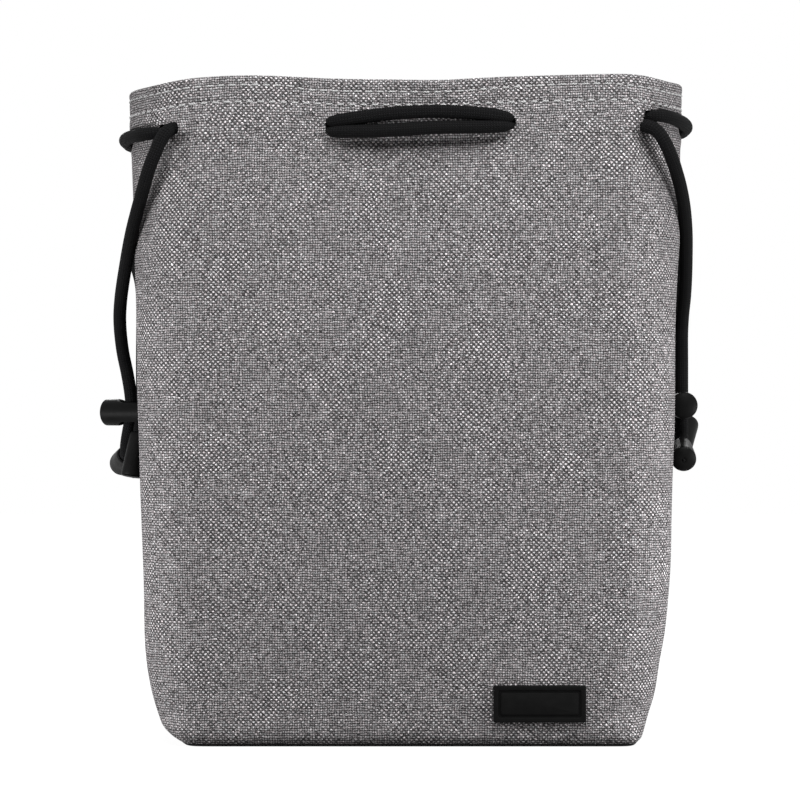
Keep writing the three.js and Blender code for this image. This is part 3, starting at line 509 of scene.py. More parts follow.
class Finish(Nodes):
    def __init__(self, name, roughness=0.8, metallic=0.0, specular=0.5):
        self.material = bpy.data.materials.new(name)
        self.material.use_nodes = True
        super().__init__(self.material.node_tree)
        self.inputs = self.tree.nodes["Principled BSDF"].inputs
        self.inputs["Roughness"].default_value = roughness
        self.inputs["Metallic"].default_value = metallic
        self.inputs["Specular IOR Level"].default_value = specular

    def vector(self, x, y, z=0.0):
        return self.node("ShaderNodeCombineXYZ", x, y, z).outputs[0]

    # Millimetres along and across the thread
    def thread(self):
        place = self.node("ShaderNodeUVMap", uv_map="thread").outputs[0]
        return self.node("ShaderNodeSeparateXYZ", place).outputs[:2]

    def place(self):
        return self.node("ShaderNodeTexCoord").outputs["Object"]

    def noise(self, vector, scale, detail=2.0, roughness=0.5, output="Fac"):
        made = self.node("ShaderNodeTexNoise")
        names = ("Vector", "Scale", "Detail", "Roughness")
        for name, value in zip(names, (vector, scale, detail, roughness)):
            self.feed(made.inputs[name], value)
        return made.outputs[output]

    # A wave that goes from its highest to its lowest over each pitch
    def wave(self, value, pitch):
        return self.math("COSINE", self.math("MULTIPLY", value, math.pi / pitch))

    def paint(self, value, warm=1.0, cool=1.0):
        red = self.math("MULTIPLY", value, warm)
        blue = self.math("MULTIPLY", value, cool)
        self.feed(self.inputs["Base Color"], self.node("ShaderNodeCombineColor", red, value, blue).outputs[0])

    def bump(self, height, distance):
        made = self.node("ShaderNodeBump")
        self.feed(made.inputs["Height"], height)
        made.inputs["Distance"].default_value = distance
        self.feed(self.inputs["Normal"], made.outputs[0])


# Melange cloth. Lengths are in millimetres and shades run from 0 to 1
WEAVE_PITCH = 0.97
WOBBLE = 0.75  # how far the threads stray
WANDER = (1.1, -0.9)  # how far whole stretches of the weave stray, along and across
CELL = 0.3  # how far the crossings differ in shade
LIGHT = 0.415  # shade of the light weft
STREAK = 0.38  # how far the weft's shade varies along it
DARK = 0.03  # shade of the dark warp
SLUB = 0.27  # how much lighter the warp's light stretches are
ZONE = 0.85  # how far those stretches gather in zones
EVEN = 0.27  # how far the weft is darker in such a zone
YARN_CHANGE = 0.27  # how quickly a yarn changes along its length
# How far the cloth is darkened in the gaps between rows and between columns of threads: painted shade
ROW_GAP_SHADE = 0.95
COLUMN_GAP_SHADE = 0.85
FUZZ = 0.75


# Plain weave: where the crossing wave is high, the light weft lies on top of the dark warp.
# Some stretches of the warp are light too, and there the cloth looks like a plain grid
def melange_finish(name, pitch):
    finish = Finish(name, roughness=0.92, specular=0.04)
    op = finish.math
    u, v = finish.thread()
    flat = finish.vector(u, v)
    wander = finish.noise(flat, 0.11, 1.0)
    strays = finish.noise(flat, 0.85, 1.0, output="Color")
    wobble = finish.node("ShaderNodeSeparateColor", strays).outputs
    u = op("ADD", op("MULTIPLY_ADD", wander, WANDER[0], u), op("MULTIPLY", wobble[0], WOBBLE))
    v = op("ADD", op("MULTIPLY_ADD", wander, WANDER[1], v), op("MULTIPLY", wobble[1], WOBBLE))
    falling = finish.wave(op("ADD", u, v), pitch)
    rising = finish.wave(op("SUBTRACT", u, v), pitch)
    over = op("MULTIPLY_ADD", falling, 0.58, op("MULTIPLY", rising, 0.42))
    column = op("ROUND", op("DIVIDE", u, pitch))
    row = op("ROUND", op("DIVIDE", v, pitch))
    cell = finish.node("ShaderNodeTexWhiteNoise", finish.vector(column, row), noise_dimensions="2D")
    jitter = finish.remap(cell.outputs["Value"], 0, 1, 1 - CELL, 1 + CELL, smooth=False)
    far_row = op("MULTIPLY", row, 7.37)
    far_column = op("MULTIPLY", column, 7.37)
    weft = finish.noise(finish.vector(op("MULTIPLY", u, YARN_CHANGE), far_row), 1.0, 2.0, 0.6)
    warp = finish.noise(finish.vector(far_column, op("MULTIPLY", v, YARN_CHANGE), 31.0), 1.0, 2.0, 0.6)
    zone = finish.noise(flat, 0.05, 1.0)
    slub = op("MULTIPLY_ADD", op("SUBTRACT", zone, 0.5), ZONE, warp)
    streaky = finish.remap(weft, 0.25, 0.75, LIGHT * (1 - STREAK), LIGHT * (1 + STREAK), smooth=False)
    evened = finish.remap(zone, 0.33, 0.67, 1 + EVEN, 1 - EVEN, smooth=False)
    light_yarn = op("MULTIPLY", streaky, evened)
    dark_yarn = finish.remap(slub, 0.36, 0.68, DARK, DARK + SLUB)
    share = finish.remap(over, -1.0, 0.45)
    dark_part = op("MULTIPLY", op("SUBTRACT", 1.0, share), dark_yarn)
    value = op("ADD", op("MULTIPLY", share, light_yarn), dark_part)
    # Painted shade: each thread darkens towards its edges, in the gaps between rows and between columns. The
    # rows' gaps also go into the bump
    row_dip = finish.remap(op("ABSOLUTE", finish.wave(v, pitch)), 0, 0.92, 1 - ROW_GAP_SHADE, 1)
    column_dip = finish.remap(op("ABSOLUTE", finish.wave(u, pitch)), 0, 0.8, 1 - COLUMN_GAP_SHADE, 1)
    fuzz = finish.remap(finish.noise(flat, 2.6, 1.0), 0.3, 0.7, 1 - FUZZ, 1 + FUZZ, smooth=False)
    for factor in (jitter, row_dip, column_dip, fuzz):
        value = op("MULTIPLY", value, factor)
    tint = finish.remap(wobble[2], 0.3, 0.7, 1.0, 1.1, smooth=False)
    finish.paint(value, tint, 1.02)
    finish.bump(op("ADD", op("MULTIPLY", over, 0.5), row_dip), 0.00012)
    return finish


# Plain weave in one dark colour
def weave_finish(name, pitch, dark, light, bump):
    finish = Finish(name, roughness=0.92, specular=0.08)
    u, v = finish.thread()
    over = finish.math("MULTIPLY", finish.wave(u, pitch), finish.wave(v, pitch))
    patchy = finish.noise(finish.vector(u, v), 0.4, 3.0)
    share = finish.remap(finish.math("MULTIPLY_ADD", patchy, 0.6, over), -0.3, 1.3)
    finish.paint(finish.math("MULTIPLY_ADD", share, light - dark, dark), 1.0, 1.03)
    finish.bump(finish.math("ABSOLUTE", over), bump)
    return finish


# Braid: the same, with both threads running slantwise round the cord
def braid_finish(name, pitch, dark, light, bump):
    finish = Finish(name, roughness=0.8, specular=0.05)
    along, around = finish.thread()
    left = finish.wave(finish.math("ADD", along, around), pitch)
    right = finish.wave(finish.math("SUBTRACT", along, around), pitch)
    plait = finish.math("MULTIPLY", left, right)
    fuzz = finish.noise(finish.vector(along, around), 2.5, 3.0)
    share = finish.remap(finish.math("MULTIPLY_ADD", fuzz, 0.6, plait), -0.3, 1.2)
    finish.paint(finish.math("MULTIPLY_ADD", share, light - dark, dark), 1.0, 1.05)
    finish.bump(finish.math("MULTIPLY_ADD", fuzz, 0.3, finish.math("ABSOLUTE", plait)), bump)
    return finish


def moulded_finish(name, value, roughness, grain_scale, grain):
    finish = Finish(name, roughness=roughness, specular=0.03)
    place = finish.place()
    broad = finish.noise(place, grain_scale / 12)
    finish.paint(finish.remap(broad, 0.3, 0.7, 0.85 * value, 1.15 * value, smooth=False))
    rough = finish.remap(broad, 0.3, 0.7, roughness - 0.05, roughness + 0.07, smooth=False)
    finish.feed(finish.inputs["Roughness"], rough)
    finish.bump(finish.noise(place, grain_scale, 3.0), grain)
    return finish


def foam_finish(name):
    finish = Finish(name, roughness=1.0, specular=0.1)
    cells = finish.node("ShaderNodeTexVoronoi", finish.place())
    cells.inputs["Scale"].default_value = 1400
    finish.paint(finish.remap(cells.outputs["Distance"], 0.0, 0.7, 0.035, 0.01))
    finish.bump(cells.outputs["Distance"], 0.0004)
    return finish


# Sewing thread: the ridges of its twist are painted lighter and its grooves darker, which is painted shade.
# The same twist gives the bump
def thread_finish(name):
    finish = Finish(name, roughness=0.7, specular=0.3)
    along, around = finish.thread()
    twist = finish.math("SINE", finish.math("MULTIPLY", finish.math("ADD", along, around), 5.5))
    finish.paint(finish.remap(twist, -1, 1, 0.3, 0.48))
    finish.bump(twist, 0.00008)
    return finish


def steel_finish(name):
    finish = Finish(name, roughness=0.32, metallic=1.0)
    drawn = finish.noise(finish.place(), 1800)
    finish.paint(finish.remap(drawn, 0.3, 0.7, 0.42, 0.56))
    finish.feed(finish.inputs["Roughness"], finish.remap(drawn, 0.3, 0.7, 0.25, 0.4))
    return finish


cloth = melange_finish("cloth_weave", WEAVE_PITCH)
lining_cloth = weave_finish("lining_weave", 0.6, 0.018, 0.05, 0.0001)
# The dark base weave dresses the base panel, and also the band of painted shade round the foot
base_cloth = weave_finish("base_and_foot_shade_weave", 0.9, 0.004, 0.012, 0.0002)
cord_braid = braid_finish("cord_braid", 0.98, 0.003, 0.009, 0.00022)
plastic = moulded_finish("satin_plastic", 0.0055, 0.42, 2600, 0.00002)
rubber = moulded_finish("patch_rubber", 0.005, 0.5, 3200, 0.00003)
foam = foam_finish("open_cell_foam")
sewing_thread = thread_finish("sewing_thread")
steel = steel_finish("spring_steel")


def dress(piece, finish, slot, *nodes, body="pouch"):
    piece.data.materials.clear()
    piece.data.materials.append(finish.material)
    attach(piece, body)
    if nodes:
        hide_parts(*nodes)
    return piece


# Cords: a held run and two free ends each. The runs lie outside the cloth in three spans
inner_left, inner_right = STRANDS["inner_left"], STRANDS["inner_right"]
outer_left, outer_right = STRANDS["outer_left"], STRANDS["outer_right"]
back_span = (inner_right[1], inner_left[1], SPAN_BULGE)
left_spans = [
    (inner_left[0], inner_right[0], SPAN_BULGE),
    (outer_right[0], outer_right[1], 0),
    back_span,
]
right_spans = [
    back_span,
    (outer_left[1], outer_left[0] + MOUTH_LENGTH, 0),
    (inner_left[0] + MOUTH_LENGTH, inner_right[0] + MOUTH_LENGTH, SPAN_BULGE),
]
left_route = run_route(*RUN_ENDS["left"], left_spans, 1, "left")
right_route = run_route(RUN_ENDS["right"][1], RUN_ENDS["right"][0] + MOUTH_LENGTH, right_spans, -1, "right")
for side, (route, flat) in (("left", left_route), ("right", right_route)):
    run = tube(f"{side}_cord_in_channel", route, CORD_SEEN_RADIUS, flat=flat)
    dress(run, cord_braid, "cord", f"{side}_drawcord_run")

# Bells that close over the knots at the free ends
BELL_NECK = 3.5
BELL_MOUTH = 5
BELL_LENGTH = 17.6
BELL_WALL = 0.7
BELL_SEGMENTS = 56
# How far each lid is domed, as a share of the fullest
LID_DOMES = {"left_front": 0.8, "left_back": 0.35, "right_front": 1, "right_back": 0.3}
KNOT_SIZE = 0.62
KNOT_RADIUS = 1.05
KNOT_PLACE = 9.8


def bell_profile():
    bore = CORD_RADIUS + 0.4
    outside = [(0, bore), (0, BELL_NECK - 0.45), (0.12, BELL_NECK - 0.12), (0.5, BELL_NECK + 0.1)]
    for k in range(1, 13):
        t = k / 13
        outside.append((BELL_LENGTH * t, lerp(BELL_NECK, BELL_MOUTH - 0.05, t**0.9) + 0.1))
    outside += [(BELL_LENGTH - 0.5, BELL_MOUTH), (BELL_LENGTH - 0.1, BELL_MOUTH - 0.08)]
    inside = [(BELL_LENGTH, BELL_MOUTH - 0.25), (BELL_LENGTH, BELL_MOUTH - BELL_WALL)]
    return outside + inside + [(7.6, 3.6), (5, bore), (0, bore)]


def lid_profile(dome):
    seat = BELL_LENGTH + 0.25
    plug = BELL_MOUTH - BELL_WALL - 0.4
    rim = BELL_MOUTH
    full = [
        (seat - 1.8, 0), (seat - 1.8, plug - 0.3), (seat - 1.5, plug), (seat, plug),
        (seat, rim - 0.12), (seat + 0.1, rim - 0.03), (seat + 0.45, rim),
        (seat + 0.75, rim - 0.22), (seat + 1.1, rim - 0.75), (seat + 1.45, rim - 1.5),
        (seat + 1.7, rim - 2.3), (seat + 1.86, rim - 3.2), (seat + 1.92, 1.05), (seat + 1.8, 0.85),
        (seat + 1.8, 0.62), (seat + 2.05, 0.5), (seat + 2.2, 0.3), (seat + 2.25, 0),
    ]
    return [(along if along <= seat else seat + dome * (along - seat), radius) for along, radius in full]


def stand(piece, origin, axis):
    turn = Vector((1, 0, 0)).rotation_difference(Vector(axis)).to_matrix().to_4x4()
    piece.data.transform(Matrix.Translation(Vector(origin) * MM) @ turn)
    return piece


def cap_piece(name, profile, origin, axis, node):
    piece = stand(lathe(name, profile, BELL_SEGMENTS), origin, axis)
    shade_by_angle(piece, 40)
    return dress(piece, plastic, "plastic", node)


for name, (seat, toward, points) in TAILS.items():
    side, facing = name.split("_")
    seat = Vector(seat)
    axis = (Vector(toward) - seat).normalized()
    ending = [tuple(seat + axis * along) for along in (-2.4, 0, 4.2, 8.4)]
    route = [tuple(p) for p in tail_inside(side, facing == "front")]
    fine = spline(route + points + ending, 5)
    cord = tube(f"{name}_free_cord", fine, CORD_SEEN_RADIUS)
    dress(cord, cord_braid, "cord", f"{name}_tail")

    bell = cap_piece(f"{name}_bell", bell_profile(), seat, axis, f"{name}_cord_end")
    domed = lid_profile(LID_DOMES[name])
    lid = cap_piece(f"{name}_bell_lid", domed, seat, axis, f"{name}_cord_end_lid")

    turn = np.linspace(0, 2 * np.pi, 90)
    loop = np.stack([0.55 * np.sin(3 * turn), np.sin(turn) + 2 * np.sin(2 * turn),
                     np.cos(turn) - 2 * np.cos(2 * turn)], axis=1) * KNOT_SIZE
    knot = tube(f"{name}_knot", loop, KNOT_RADIUS, 10, capped=False)
    stand(knot, seat + axis * KNOT_PLACE, axis)
    dress(knot, cord_braid, "cord")

# Outer cloth. Rows go up the outside, over the rolled rim and down to the hem's edge
FOLD_MIDDLE = 1.8
FOLD_SHOULDER = 258.6
FOLD_RISE = 1.35
SHELL = 0.9
# How close rows of the grid may come to the edges of the slits and to each other
EDGE_GAP = 0.35
LEVEL_GAP = 0.12
# How far a crossing cord lifts the cloth, and how far it drives its threads apart
LIFT_MARGIN = 1.15
MOST_LIFT = 2.3
THREADS_APART = 1.7


def spread(*parts):
    return np.concatenate([np.linspace(low, high, steps + 1)[:-1] for low, high, steps in parts])


def thinned(values, closest):
    kept = []
    for value in sorted(values):
        if not kept or value - kept[-1] > closest:
            kept.append(value)
    return kept


# The slits: place along the mouth where a cord is halfway through the cloth, the way it goes
# out, level over the middle of the channel, how far before and after that place the slit
# reaches, and half its height
slits = []
for index, way in ((0, 1), (1, -1)):
    low = -1.7 if index == 0 else 0
    slits.append((inner_left[index], way, low, 1.8, 5.2, 3.0))
    slits.append((inner_right[index], -way, low + 1.1, 2.3, 5.2, 2.8))
    slits.append((TAIL_CROSSINGS["right"][index], way, -0.1, 0.4, 8.2, 4.3))
    slits.append((TAIL_CROSSINGS["left"][index], -way, -1.4, 0.4, 9.5, 2.6))

edges = sorted({CORD_LEVEL + level + side * half for _, _, level, _, _, half in slits for side in (-1, 1)})
walls = list(spread((0, 4, 8), (4, 48, 24), (48, 224, 48), (224, 232, 5), (232, FOLD_SHOULDER, 40)))
walls = [z for z in walls if all(abs(z - edge) > EDGE_GAP for edge in edges)] + edges
walls = thinned(walls, LEVEL_GAP) + [FOLD_SHOULDER]
rail = [(0.0, z) for z in walls]
for step in range(1, 8):
    turn = math.pi * step / 8
    rail.append((FOLD_MIDDLE * (1 - math.cos(turn)), FOLD_SHOULDER + FOLD_RISE * math.sin(turn)))
rail += [(2 * FOLD_MIDDLE, z) for z in np.linspace(FOLD_SHOULDER, HEM_BOTTOM, 9)]
RAIL_INSET = np.array([inset for inset, _ in rail])
RAIL_Z = np.array([z for _, z in rail])
RAIL_LENGTH = running_length(rail)


def nearest(distance):
    return distance - MOUTH_LENGTH * np.round(distance / MOUTH_LENGTH)


# How places on the cloth lie to each slit: how far ahead of it and how far above its middle
def by_slits(arc, z):
    for place, way, level, lip, far, half in slits:
        yield nearest(arc - place) * way, z - (CORD_LEVEL + level), way, lip, far, half


# The cloth lifts over a cord on one side of its slit and is pressed in by it on the other
def slit_lift(arc, z):
    lift = np.zeros_like(arc)
    for ahead, above, _, lip, far, half in by_slits(arc, z):
        cover = 1 - smoothstep(np.abs(above), half - 1.1, half + 3)
        rise = np.clip(weave(ahead) - CORD_INSET + CORD_RADIUS + LIFT_MARGIN, 0, MOST_LIFT)
        over = rise * (1 - smoothstep(ahead, -lip - 0.3, far - 1))
        lift = np.maximum(lift, over * cover * (ahead > -16))
    return lift


# The threads beside a slit are drawn apart round its ends
def slit_shift(arc, z):
    shift = np.zeros_like(arc)
    for ahead, above, way, lip, _, half in by_slits(arc, z):
        height = above / (half + 0.3)
        round_end = np.sqrt(np.clip(1 - height**2, 0, 1))
        near = humps(ahead, [(1, -lip, 3.5)])
        moved = way * THREADS_APART * (0.8 - round_end) * near * (np.abs(height) < 1.6)
        shift = np.where(np.abs(moved) > np.abs(shift), moved, shift)
    return shift


def in_slit(arc, z):
    gone = np.zeros(arc.shape, dtype=bool)
    for ahead, above, _, lip, far, half in by_slits(arc, z):
        gone |= (ahead > -lip) & (ahead < far) & (np.abs(above) < half)
    return gone


# Stitches: heights of the rows, the way from one to the next, half a stitch, its thread and its dent
STITCH_ROWS = (256.2, 249.8)
STITCH_PITCH = 4.4
STITCH_HALF = 1.55
STITCH_RADIUS = 0.39
STITCH_DENT = 0.42
# Heights between which the cloth changes from the plain wall to the mouth: where the slits act,
# where the channel starts and ends, where the cords' tilt and the rim's waves come in
MOUTH_ZONE = (226, 236)
CHANNEL_FROM = (233, 238)
CHANNEL_TO = (246.5, 250)
TILT_ZONE = (205, 238)
WAVE_ZONE = (225, 256)
CHANNEL_LIFT = 0.35

# Soft unevenness of a stuffed wall, made of a few long waves: (slant, size, phase, height)
SOFT_WAVES = ((0.9, 31, 0.3, 0.24), (2.3, 47, 1.9, 0.2), (-1.7, 23, 4.0, 0.13), (0.4, 18, 2.6, 0.1),
              (1.2, 11, 5.1, 0.05))


def softness(arc, z):
    total = np.zeros_like(arc)
    for slant, size, phase, height in SOFT_WAVES:
        level = (z - slant * arc * 0.3) / (size * 0.9) + phase
        total += height * np.sin((arc + slant * z) / size + phase) * np.cos(level)
    return total


# Soft creases that hang from the slits, front and back: (x, slant, depth, width, top, bottom)
CREASES = (
    (-86, -0.2, 1.1, 2.6, 236, 200),
    (-80, -0.15, -0.5, 3.6, 238, 196),
    (91.5, 0.12, 1.1, 2.6, 237, 198),
    (86, 0.08, -0.6, 3.6, 240, 200),
    (-33, 0.1, 0.5, 4.0, 236, 214),
    (44, -0.1, 0.5, 4.0, 236, 214),
)


def creases(x, z):
    under_span = humps(z, [(1.1, 235.6, 1.9)]) * (1 - smoothstep(np.abs(x - SPAN_MIDDLE), 24, 36))
    total = -under_span
    for place, slant, depth, width, top, bottom in CREASES:
        across = (x - place - slant * (top - z)) / (width * (1 + 0.02 * (top - z)))
        length = smoothstep(z, bottom, lerp(bottom, top, 0.6)) * (1 - smoothstep(z, top, top + 6))
        total -= depth * np.exp(-(across**2)) * length
    return total


# The strand that goes round each side presses the cloth in
def side_dent(arc, z):
    total = np.zeros_like(arc)
    for (first, last), level, side in ((outer_right, 1, "left"), (outer_left[::-1], -1, "right")):
        span = np.mod(last - first, MOUTH_LENGTH)
        along = np.mod(arc - first, MOUTH_LENGTH) / span
        inside = np.clip(np.sin(np.pi * np.clip(along, 0, 1)), 0, 1) ** SIDE_CURVE
        height = np.abs(z - (CORD_LEVEL + level * CORD_PITCH / 2 - SIDE_DROOP[side] * inside))
        total -= (SIDE_PRESS + 0.2) * inside * (1 - smoothstep(height, 0.8, 5))
    return total


# Waves of the rim, seen from the front: (height, x, width)
FRONT_WAVES = ((1.5, -62, 26), (-0.8, 0, 40), (0.3, 80, 25), (-0.5, -100, 12), (-1, 102, 9), (-0.5, 14, 14))
BACK_WAVES = ((0.9, 45, 30), (-0.7, -20, 38))
END_WAVES = ((-1.1, -108, 17), (-0.8, 109, 9))


def rim_wave(x, y):
    waves = np.where(y < 0, humps(x, FRONT_WAVES), humps(x, BACK_WAVES))
    return waves * smoothstep(np.abs(y), 5, 35) + humps(x, END_WAVES)


# On the front the upper row of stitches strays down in the middle and at the right corner
def row_drop(x, y):
    middle = 1.2 * smoothstep(x, -47, -37) * (1 - smoothstep(x, 10, 66))
    return (middle + 0.9 * smoothstep(x, 75, 92)) * (1 - smoothstep(y, -30, 10))


def cloth_points(u, inset, z, lifts=True):
    u, inset, z = np.broadcast_arrays(np.asarray(u, float), np.asarray(inset, float), np.asarray(z, float))
    arc = arc_of(u)
    outside = 1 - smoothstep(inset, 0.2, FOLD_MIDDLE)
    mouth_zone = smoothstep(z, *MOUTH_ZONE)
    shifted = np.where(mouth_zone > 0, mouth_u(arc + slit_shift(arc, z) * mouth_zone), u % 4)
    level = np.minimum(z, RIM_HEIGHT)
    x, y = outline(shifted, level)
    nx, ny = outline_normal(shifted, level)
    raised = z + smoothstep(z, *TILT_ZONE) * CORD_TILT * x + smoothstep(z, *WAVE_ZONE) * rim_wave(x, y)
    lift = -inset
    if lifts:
        soft = softness(arc, z) * smoothstep(z, 4, 30) * (1 - 0.6 * mouth_zone)
        channel = CHANNEL_LIFT * smoothstep(z, *CHANNEL_FROM) * (1 - smoothstep(z, *CHANNEL_TO))
        foot_roll = FOOT_ROLL * (1 - smoothstep(z, 0, FOOT_ROLL_UP_TO)) ** 2
        raise_by = slit_lift(arc, z) * mouth_zone + side_dent(arc, z) + creases(x, z)
        raise_by = raise_by + soft + channel - foot_roll
        pull = 0.75 + 0.25 * np.cos(2 * np.pi * arc / STITCH_PITCH)
        for row, drop in zip(STITCH_ROWS, (row_drop(x, y), 0)):
            raise_by = raise_by - humps(z, [(STITCH_DENT, row - drop, 0.9)]) * pull
        lift = lift + raise_by * outside
    return np.stack([x + nx * lift, y + ny * lift, raised], axis=-1)


# Columns of the cloth's grid: a base spread, closer at the slits and exact at their edges
GUSSET_SHARES = np.linspace(0, GUSSET_SHARE, 18)
CORNER_SHARES = np.linspace(GUSSET_SHARE, FRONT_SHARE, 26)
FRONT_SHARES = np.linspace(FRONT_SHARE, 1, 40)
QUARTER = np.concatenate([GUSSET_SHARES, CORNER_SHARES, FRONT_SHARES])
SLIT_COLUMNS = np.arange(-14, 12, 0.8)
COLUMN_GAP = 0.0022
WALL_COLUMN_GAP = 0.012


def panel_columns(start, end):
    loose = []
    fixed = set()
    for quarter in range(-4, 12):
        loose += list((QUARTER if quarter % 2 == 0 else 1 - QUARTER) + quarter)
    for place, way, _, lip, far, _ in slits:
        for turn in (-4, 0, 4):
            loose += [float(mouth_u(place + way * ahead)) + turn for ahead in SLIT_COLUMNS]
            fixed |= {round(float(mouth_u(place + way * ahead)) + turn, 6) for ahead in (-lip, far)}
    fixed = [value for value in fixed if start < value < end]
    loose = [value for value in loose if start + 0.001 < value < end - 0.001]
    loose = [value for value in loose if all(abs(value - other) > COLUMN_GAP for other in fixed)]
    return np.array([start, *sorted(thinned(loose, COLUMN_GAP) + fixed), end])


def wall_columns(start, end):
    return np.array(thinned(panel_columns(start, end), WALL_COLUMN_GAP))


def cloth_panel(name, start, end):
    columns = panel_columns(start, end)
    u = columns[:, None]
    points = cloth_points(u, RAIL_INSET[None, :], RAIL_Z[None, :])
    edge = np.minimum(arc_of(u) - arc_of(start), arc_of(end) - arc_of(u))
    tuck = humps(edge, [(0.8, 0, 1.1)]) * (RAIL_INSET < 1)[None, :]
    nx, ny = outline_normal(u % 4, np.minimum(RAIL_Z, RIM_HEIGHT)[None, :])
    points[..., 0] -= nx * tuck
    points[..., 1] -= ny * tuck
    middle_arc = (arc_of(columns[:-1]) + arc_of(columns[1:])) / 2
    middle_z = (RAIL_Z[:-1] + RAIL_Z[1:]) / 2
    gone = in_slit(*np.broadcast_arrays(middle_arc[:, None], middle_z[None, :]))
    gone &= (RAIL_INSET[:-1] < 0.1)[None, :]
    rows = len(RAIL_Z)
    faces = grid_faces(len(columns), rows, skip=gone)
    steps = np.linalg.norm(np.diff(points, axis=0), axis=2)
    across = np.concatenate([np.zeros((1, rows)), np.cumsum(steps, axis=0)])
    centre = int(np.argmin(np.abs(columns - round((start + end) / 2))))
    across -= across[centre]
    thread = np.stack([across, np.broadcast_to(RAIL_LENGTH, across.shape)], axis=-1).reshape(-1, 2)
    uvs = thread[np.array(faces).ravel()]
    panel = make_object(name, points.reshape(-1, 3), faces, uvs)
    solid = panel.modifiers.new("thickness", "SOLIDIFY")
    solid.thickness = SHELL * MM
    solid.offset = -1
    return bake_modifiers(panel)


for name, start, end, node in (
    ("cloth_front", 0.25, 1.75, "outer_front_panel"),
    ("cloth_right_gusset", 1.75, 2.25, "outer_right_gusset"),
    ("cloth_back", 2.25, 3.75, "outer_back_panel"),
    ("cloth_left_gusset", 3.75, 4.25, "outer_left_gusset"),
):
    dress(cloth_panel(name, start, end), cloth, "cloth", node)


# Walls that follow the outline, for the lining, the foam and the band of painted shade round the foot
def wall_piece(name, outer, inner, columns, closed=False):
    profile = np.array(list(outer) + list(inner)[::-1], dtype=float)
    points = cloth_points(np.asarray(columns)[:, None], profile[None, :, 0], profile[None, :, 1], lifts=False)
    count, size = len(columns), len(profile)
    faces = grid_faces(count, size, closed, looped=True)
    if not closed:
        faces += end_caps(count, size)
    run = running_length(points[:, 0])[:, None]
    thread = np.stack(np.broadcast_arrays(run, running_length(profile)[None, :]), axis=-1).reshape(-1, 2)
    uvs = np.concatenate([thread[list(face)] for face in faces])
    piece = make_object(name, points.reshape(-1, 3), faces, uvs)
    shade_by_angle(piece, 50)
    return piece


WALL_LEVELS = list(spread((LINING_FLOOR, 50, 16), (50, PAD_TOP, 40))) + [PAD_TOP]
depth = LINING_INSET - FOAM_INSET
back = LINING_INSET + LINING
lining_outer = [(LINING_INSET, z) for z in WALL_LEVELS] + [
    (LINING_INSET, CHANNEL_TOP - 2.6), (FOAM_INSET + depth * 0.95, CHANNEL_TOP - 1.3),
    (FOAM_INSET + depth * 0.78, CHANNEL_TOP - 0.3), (FOAM_INSET + depth * 0.5, CHANNEL_TOP),
    (FOAM_INSET, CHANNEL_TOP), (FOAM_INSET, RIM_HEIGHT - 1.6),
]
lining_inner = [(back, z) for z in WALL_LEVELS] + [
    (back, CHANNEL_TOP - 2.6), (back - 0.2, CHANNEL_TOP - 0.9),
    (back - depth * 0.25, CHANNEL_TOP + LINING * 0.55), (FOAM_INSET + depth * 0.52, CHANNEL_TOP + LINING),
    (FOAM_INSET + LINING, CHANNEL_TOP + LINING), (FOAM_INSET + LINING, RIM_HEIGHT - 1.6),
]
for name, start in (("front", 0.004), ("back", 2.004)):
    columns = wall_columns(start, start + 1.992)
    lining = wall_piece(f"lining_cloth_{name}", lining_outer, lining_inner, columns)
    dress(lining, lining_cloth, "lining", f"lining_{name}")

# Foam pads, drawn in at their lower edges
pad_levels = [z + 0.6 for z in WALL_LEVELS if z < PAD_TOP - 0.5]
pad_outer = [(FOAM_INSET + 0.9, LINING_FLOOR + 0.3)] + [(FOAM_INSET + 0.35, z) for z in pad_levels]
pad_inner = [(2 * FOAM_INSET + FOAM - inset, z) for inset, z in pad_outer]
for name, start, end in (
    ("front", 0.437, 1.563),
    ("right_front", 1.587, 1.994),
    ("right_back", 2.006, 2.413),
    ("back", 2.437, 3.563),
    ("left_back", 3.587, 3.994),
    ("left_front", 4.006, 4.413),
):
    pad = wall_piece(f"padding_{name}", pad_outer, pad_inner, wall_columns(start, end))
    dress(pad, foam, "foam", f"foam_{name}_pad")

foot_columns = wall_columns(0.0, 4.0)[:-1]


# Plates across the bottom of the bag, crowned a little towards their middle
def floor_piece(name, bottom, top, inset, crown):
    shares = (1.0, 0.97, 0.85, 0.6, 0.3)
    rings = []
    below = [(bottom, share, 0) for share in reversed(shares)]
    for z, share, rise in below + [(top, share, crown) for share in shares]:
        x, y = outline(foot_columns, z)
        nx, ny = outline_normal(foot_columns, z)
        level = np.full_like(x, z + rise * (1 - share**4))
        rings.append(np.stack([(x - nx * inset) * share, (y - ny * inset) * share, level], axis=-1))
    points = np.concatenate(rings)
    faces = stack_faces(len(rings), len(foot_columns))
    uvs = np.concatenate([points[list(face)][:, :2] for face in faces])
    piece = make_object(name, points, faces, uvs)
    shade_by_angle(piece, 45)
    return piece


# A near-black band round the foot: painted shade, standing in for the contact shade where the bag meets the
# floor
FOOT_SHADE_OUTER = ((1.1, 0.05), (0.85, 0.2), (0.75, 0.6), (0.7, 1.0), (0.9, 1.25))
FOOT_SHADE_INNER = ((1.9, 0.05), (1.9, 1.25))
foot_shade_band = wall_piece("painted_foot_shade", FOOT_SHADE_OUTER, FOOT_SHADE_INNER, foot_columns, closed=True)
dress(foot_shade_band, base_cloth, "lining")
base_panel = floor_piece("base_cloth", 0, BASE_CLOTH, FOAM_INSET, 0)
dress(base_panel, base_cloth, "cloth", "outer_base_panel")
base_pad = floor_piece("base_padding", 1.6, 6.2, FOAM_INSET + 0.3, 0.15)
dress(base_pad, foam, "foam", "foam_base_pad")
base_lining = floor_piece("base_lining", LINING_FLOOR, LINING_FLOOR + LINING, 8.2, 0.1)
dress(base_lining, lining_cloth, "lining", "lining_base")


